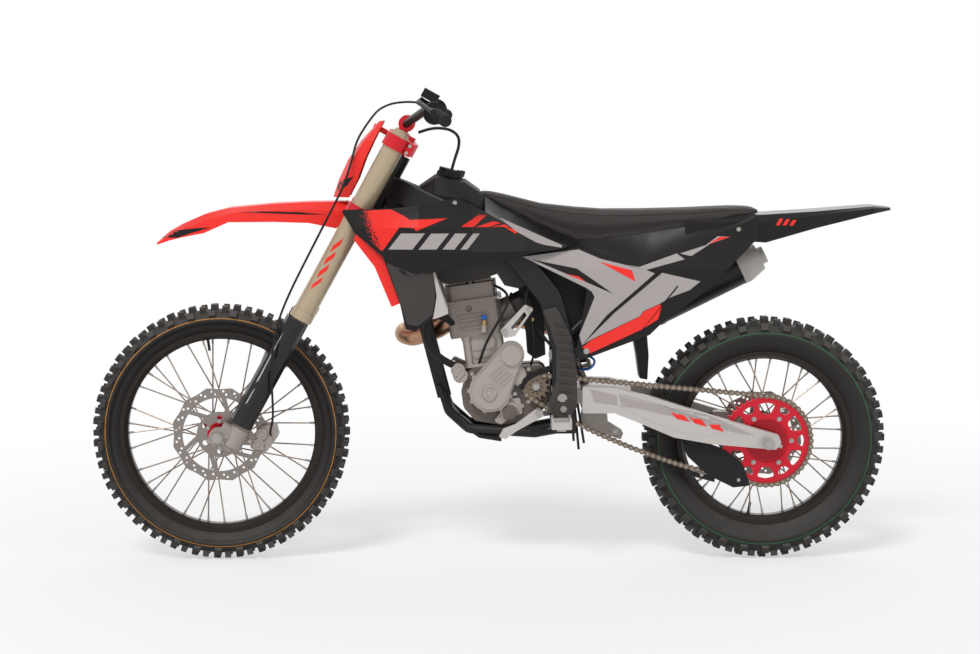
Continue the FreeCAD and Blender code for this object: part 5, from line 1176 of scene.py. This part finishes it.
def makeGripRibs(look):
    for side, label in sideNames.items():
        end, knee = (Vector((x, side * y, z)) for x, y, z in (look["end"], look["knee"]))
        axis = (end - knee).normalized()
        start = end - axis * look["length"]
        ends = [at(*(start + axis * look[mark])) for mark in ("from", "to")]
        grow(pointMesh("gripRibs" + label, ends, [(0, 1)]), "ribs", "steering", "rubber", "rubber",
             Count=look["ribs"], Radius=look["radius"] / 1000, Rib=look["rib"] / 1000)


makeGripRibs(gripSettings)


# ---- pipes, caps and wires fixed to the engine
pipeSettings = {
    "breatherPipe": {"radius": 3.6, "points": [
        (735, -40, 752), (770, -74, 742), (779, -84, 712), (765, -88, 680), (741, -86, 640), (722, -80, 606),
        (709, -72, 572), (700, -52, 540)]},
    "throttleCable": {"radius": 3.0, "points": [
        (806, -40, 722), (822, -70, 715), (834, -84, 690), (842, -84, 650), (850, -78, 600), (846, -60, 555),
        (838, -30, 528)]},
    "heaterHose": {"radius": 9.0, "points": [
        (566, -95, 690), (584, -92, 676), (604, -80, 668), (622, -62, 655), (640, -40, 640)]},
    "coolantHose": {"radius": 10.0, "points": [
        (572, -110, 700), (556, -112, 640), (566, -104, 590), (600, -84, 552), (640, -60, 532)]},
    "wireLoom": {"radius": 4.5, "points": [
        (858, -60, 800), (848, -74, 768), (830, -78, 742), (822, -76, 706), (836, -72, 664), (868, -62, 620),
        (892, -74, 590), (912, -88, 578)]},
    "loopClip": {"radius": 3.2, "finish": "blue", "points": [
        (968, -60, 528), (985, -82, 524), (1002, -86, 532), (1012, -82, 548), (1002, -78, 560), (980, -66, 566)]},
}


def makePipes(settings):
    for name, look in settings.items():
        pipe = fromCurve(name, hoseCurve(name, look["points"], look["radius"] * 2))
        for face in pipe.data.polygons:
            face.use_smooth = True
        settle(pipe, look.get("finish", "rubber"), "chassis")


makePipes(pipeSettings)

# Turned caps: place, radius, height and finish.
capSettings = {"cap": ((713, -72, 667), 7.5, 11, "blue"), "base": ((713, -72, 652), 6.0, 14, "brass"),
               "foot": ((713, -68, 636), 9.0, 20, "cast"), "sensor": ((843, -80, 662), 6.5, 9, "brass")}
capDetail = {"sides": 20, "taper": 0.92, "groove": 0.93, "edge": 0.6}


def makeCaps(settings):
    for name, (spot, radius, height, finish) in settings.items():
        work = bmesh.new()
        bmesh.ops.create_cone(work, cap_ends=True, segments=capDetail["sides"], radius1=radius / 1000,
                              radius2=radius * capDetail["taper"] / 1000, depth=height / 1000)
        for index, vert in enumerate(work.verts):
            if index % 4 < 2:
                vert.co.x *= capDetail["groove"]
                vert.co.y *= capDetail["groove"]
        bmesh.ops.translate(work, verts=work.verts, vec=at(*spot))
        cap = fromBmesh(name + "Piece", work, smooth=False)
        alter(cap, "BEVEL", width=capDetail["edge"] / 1000, segments=2)
        settle(applyModifiers(cap), finish, "chassis")


makeCaps(capSettings)

# Round covers on the left of the engine: (x, z, finish, the turned outline as (radius, height) from the middle out).
roundSettings = {
    "lowerCap": (782, 411, "caseDark", [(0, 2.2), (18, 2.2), (20.5, 1.4), (21.5, -0.5)]),
    "upperCap": (801, 512, "cast", [(0, 1.2), (19, 1.2), (20, 0.4), (22, 0.4), (22.6, 1.6), (25, 1.6), (26, -0.5)]),
    "clutchRing": (727, 462, "cast", [(0, 2.0), (4, 2.0), (5, 1.2), (11, 1.2), (12, 2.6), (17, 2.6), (18.5, -0.5)]),
    "frontCap": (643, 524, "cast", [(0, 1.0), (11, 1.0), (12, 2.6), (17, 2.6), (19, 0.6), (19.5, -0.5)]),
}


def makeRounds(settings):
    for name, (x, z, finish, outline) in settings.items():
        work = bmesh.new()
        corners = [work.verts.new((radius / 1000, 0, height / 1000)) for radius, height in outline]
        edges = [work.edges.new(pair) for pair in zip(corners, corners[1:])]
        bmesh.ops.spin(work, geom=corners + edges, cent=(0, 0, 0), axis=(0, 0, 1), dvec=(0, 0, 0), angle=math.tau,
                       steps=40, use_duplicate=False)
        bmesh.ops.remove_doubles(work, verts=work.verts[:], dist=1e-6)
        bmesh.ops.recalc_face_normals(work, faces=work.faces[:])
        faceAlong(work, Vector((0, 0, 1)))
        turn = Vector((0, -1, 0)).to_track_quat("Z", "X").to_matrix().to_4x4()
        spot = sideHit(["engine_covers"], x, z, -1)[0]
        bmesh.ops.transform(work, verts=work.verts, matrix=Matrix.Translation(spot) @ turn)
        settle(fromBmesh(name, work, smooth=False), finish, "chassis")


makeRounds(roundSettings)
print("small pieces made")


# ---- moulded black panels that close the sides between the parts
# Below the seat: (x, the outer edge's half width and height, the inner edge's half width and height).
underSeat = [(716, 143, 946, 42, 990), (760, 141, 922, 45, 966), (800, 137, 901, 48, 948), (840, 130, 889, 52, 927),
             (880, 124, 877, 56, 909), (920, 118, 866, 60, 891), (960, 108, 853, 64, 878),
             (1000, 112, 841, 66, 878), (1040, 116, 832, 68, 881), (1080, 122, 820, 69, 887),
             (1120, 127, 808, 70, 893), (1160, 126, 817, 71, 899), (1200, 123, 832, 71, 905),
             (1240, 119, 847, 71, 911), (1280, 114, 865, 70, 920), (1320, 109, 880, 69, 929),
             (1360, 105, 898, 67, 935), (1400, 101, 916, 63, 943), (1436, 98, 930, 60, 950)]
underSeatDetail = {"wall": 2.5, "across": 0.42, "up": 0.62}
panelDetail = {"wall": 3, "edge": 1, "raised": 2.5, "inset": 8}
# Flat panels: half width, then the outline (x, z).
flatPanels = {
    "airboxSide": {"across": 58, "finish": "blackPlastic", "outline": [
        (848, 856), (930, 858), (1010, 846), (1060, 818), (1052, 748), (1018, 690), (985, 612), (968, 590),
        (944, 606), (930, 668), (908, 726), (874, 778), (846, 812)]},
    "tankShield": {"across": 66, "finish": "greyPlastic", "outline": [
        (566, 862), (862, 858), (868, 792), (848, 756), (804, 744), (768, 752), (748, 783), (700, 766), (648, 758),
        (606, 756), (584, 776)]},
    "caseSaver": {"across": 84, "finish": "blackPlastic", "sides": (-1,), "inset": 3, "outline": [
        (810, 474), (812, 488), (818, 501), (827, 511), (842, 521), (860, 529), (898, 541), (921, 546), (921, 526),
        (898, 522), (874, 516), (848, 506), (832, 496), (822, 482), (820, 470)]},
    "bootShield": {"across": 24, "finish": "blackPlastic", "sides": (-1,), "outline": [
        (806, 742), (850, 752), (872, 700), (876, 640), (880, 560), (852, 548), (830, 566), (826, 620), (818, 668)]},
}


def makeUnderSeat(rows, detail):
    # The fold between the edges is set by the outer edge's share across and up.
    across, up = detail["across"], detail["up"]
    for side, label in sideNames.items():
        work = bmesh.new()
        lines = []
        for x, wide, low, narrow, high in rows:
            middle = (wide * across + narrow * (1 - across), low * up + high * (1 - up))
            lines.append([work.verts.new(at(x, side * y, z)) for y, z in ((wide, low), middle, (narrow, high))])
        for line, after in zip(lines, lines[1:]):
            for index in range(2):
                corners = (line[index], after[index], after[index + 1], line[index + 1])
                work.faces.new(corners if side < 0 else corners[::-1])
        cover = fromBmesh("seatSide" + label, work)
        makeWall(cover, detail["wall"])
        settle(cover, "glossBlack", "chassis")


def makeFlatPanels(panels):
    # Each has a raised field inside its border.
    for name, look in panels.items():
        for side in look.get("sides", (-1, 1)):
            work = bmesh.new()
            face = work.faces.new([work.verts.new(at(x, side * look["across"], z)) for x, z in look["outline"]])
            face.normal_update()
            inset = look.get("inset", panelDetail["inset"]) / 1000
            bmesh.ops.inset_region(work, faces=[face], thickness=inset, depth=0)
            bmesh.ops.translate(work, verts=face.verts, vec=(0, side * panelDetail["raised"] / 1000, 0))
            faceAlong(work, Vector((0, side, 0)))
            panel = fromBmesh(name + sideNames[side], work, smooth=False)
            makeWall(panel, panelDetail["wall"], panelDetail["edge"])
            settle(panel, look["finish"], "chassis")


makeUnderSeat(underSeat, underSeatDetail)
makeFlatPanels(flatPanels)
print("panels made")


# ---- floor, light and backdrop
studio = {"sky": 0.36, "near": 1.3, "far": 3.2, "shadow": 0.45, "floor": 60, "sun": [
    ("key", (-0.45, -1.0, 1.25), 1.65, 16), ("fill", (0.9, -0.75, 0.6), 0.4, 50), ("back", (0.2, 1.0, 0.8), 0.6, 60)]}


def whiteRays(tree):
    # The rays that see the backdrop as plain white.
    rays = addNode(tree, "ShaderNodeLightPath").outputs
    seen = math2(tree, "MAXIMUM", rays["Is Camera Ray"], rays["Is Glossy Ray"])
    return math2(tree, "MAXIMUM", seen, rays["Is Transmission Ray"])


def makeFloorMaterial(settings):
    # White for those rays, and the shadow shows only close to the bike.
    material = bpy.data.materials.new("whiteFloor")
    material.use_nodes = True
    tree = material.node_tree
    shader = tree.nodes["Principled BSDF"]
    shader.inputs["Base Color"].default_value = (0.9, 0.9, 0.9, 1)
    shader.inputs["Roughness"].default_value = 0.9
    shader.inputs["Specular IOR Level"].default_value = 0.0
    away = vectorMath(tree, "LENGTH", addNode(tree, "ShaderNodeTexCoord").outputs["Object"], result="Value")
    fade = addNode(tree, "ShaderNodeMapRange", {
        "Value": away, "From Min": settings["near"], "From Max": settings["far"], "To Min": 1.0 - settings["shadow"],
        "To Max": 1.0}, interpolation_type="SMOOTHSTEP")
    white = addNode(tree, "ShaderNodeEmission", {"Color": (1, 1, 1, 1), "Strength": 1.0})
    share = math2(tree, "MULTIPLY", fade.outputs["Result"], whiteRays(tree))
    mixed = addNode(tree, "ShaderNodeMixShader", {0: share, 1: shader.outputs[0], 2: white.outputs[0]})
    tree.links.new(mixed.outputs[0], tree.nodes["Material Output"].inputs["Surface"])
    return material


def makeStudio(settings):
    work = bmesh.new()
    bmesh.ops.create_grid(work, x_segments=1, y_segments=1, size=settings["floor"])
    bmesh.ops.translate(work, verts=work.verts, vec=(0, 0, at(0, 0, 0).z - 0.0005))
    floor = fromBmesh("studioFloor", work)
    floor.data.materials.append(makeFloorMaterial(settings))
    world = bpy.data.worlds.new("studio")
    bpy.context.scene.world = world
    world.use_nodes = True
    tree = world.node_tree
    tree.nodes.clear()
    sky, white = (addNode(tree, "ShaderNodeBackground", {"Color": (1, 1, 1, 1), "Strength": power}).outputs[0]
                  for power in (settings["sky"], 1.0))
    both = addNode(tree, "ShaderNodeMixShader", {0: whiteRays(tree), 1: sky, 2: white})
    tree.links.new(both.outputs[0], addNode(tree, "ShaderNodeOutputWorld").inputs[0])
    for name, direction, power, wide in settings["sun"]:
        data = bpy.data.lights.new(name, "SUN")
        data.energy = power
        data.angle = math.radians(wide)
        lamp = link(bpy.data.objects.new(name, data))
        lamp.rotation_euler = Vector(direction).to_track_quat("Z", "Y").to_euler()


makeStudio(studio)
bpy.context.scene.view_settings.view_transform = "Standard"
print("studio made")
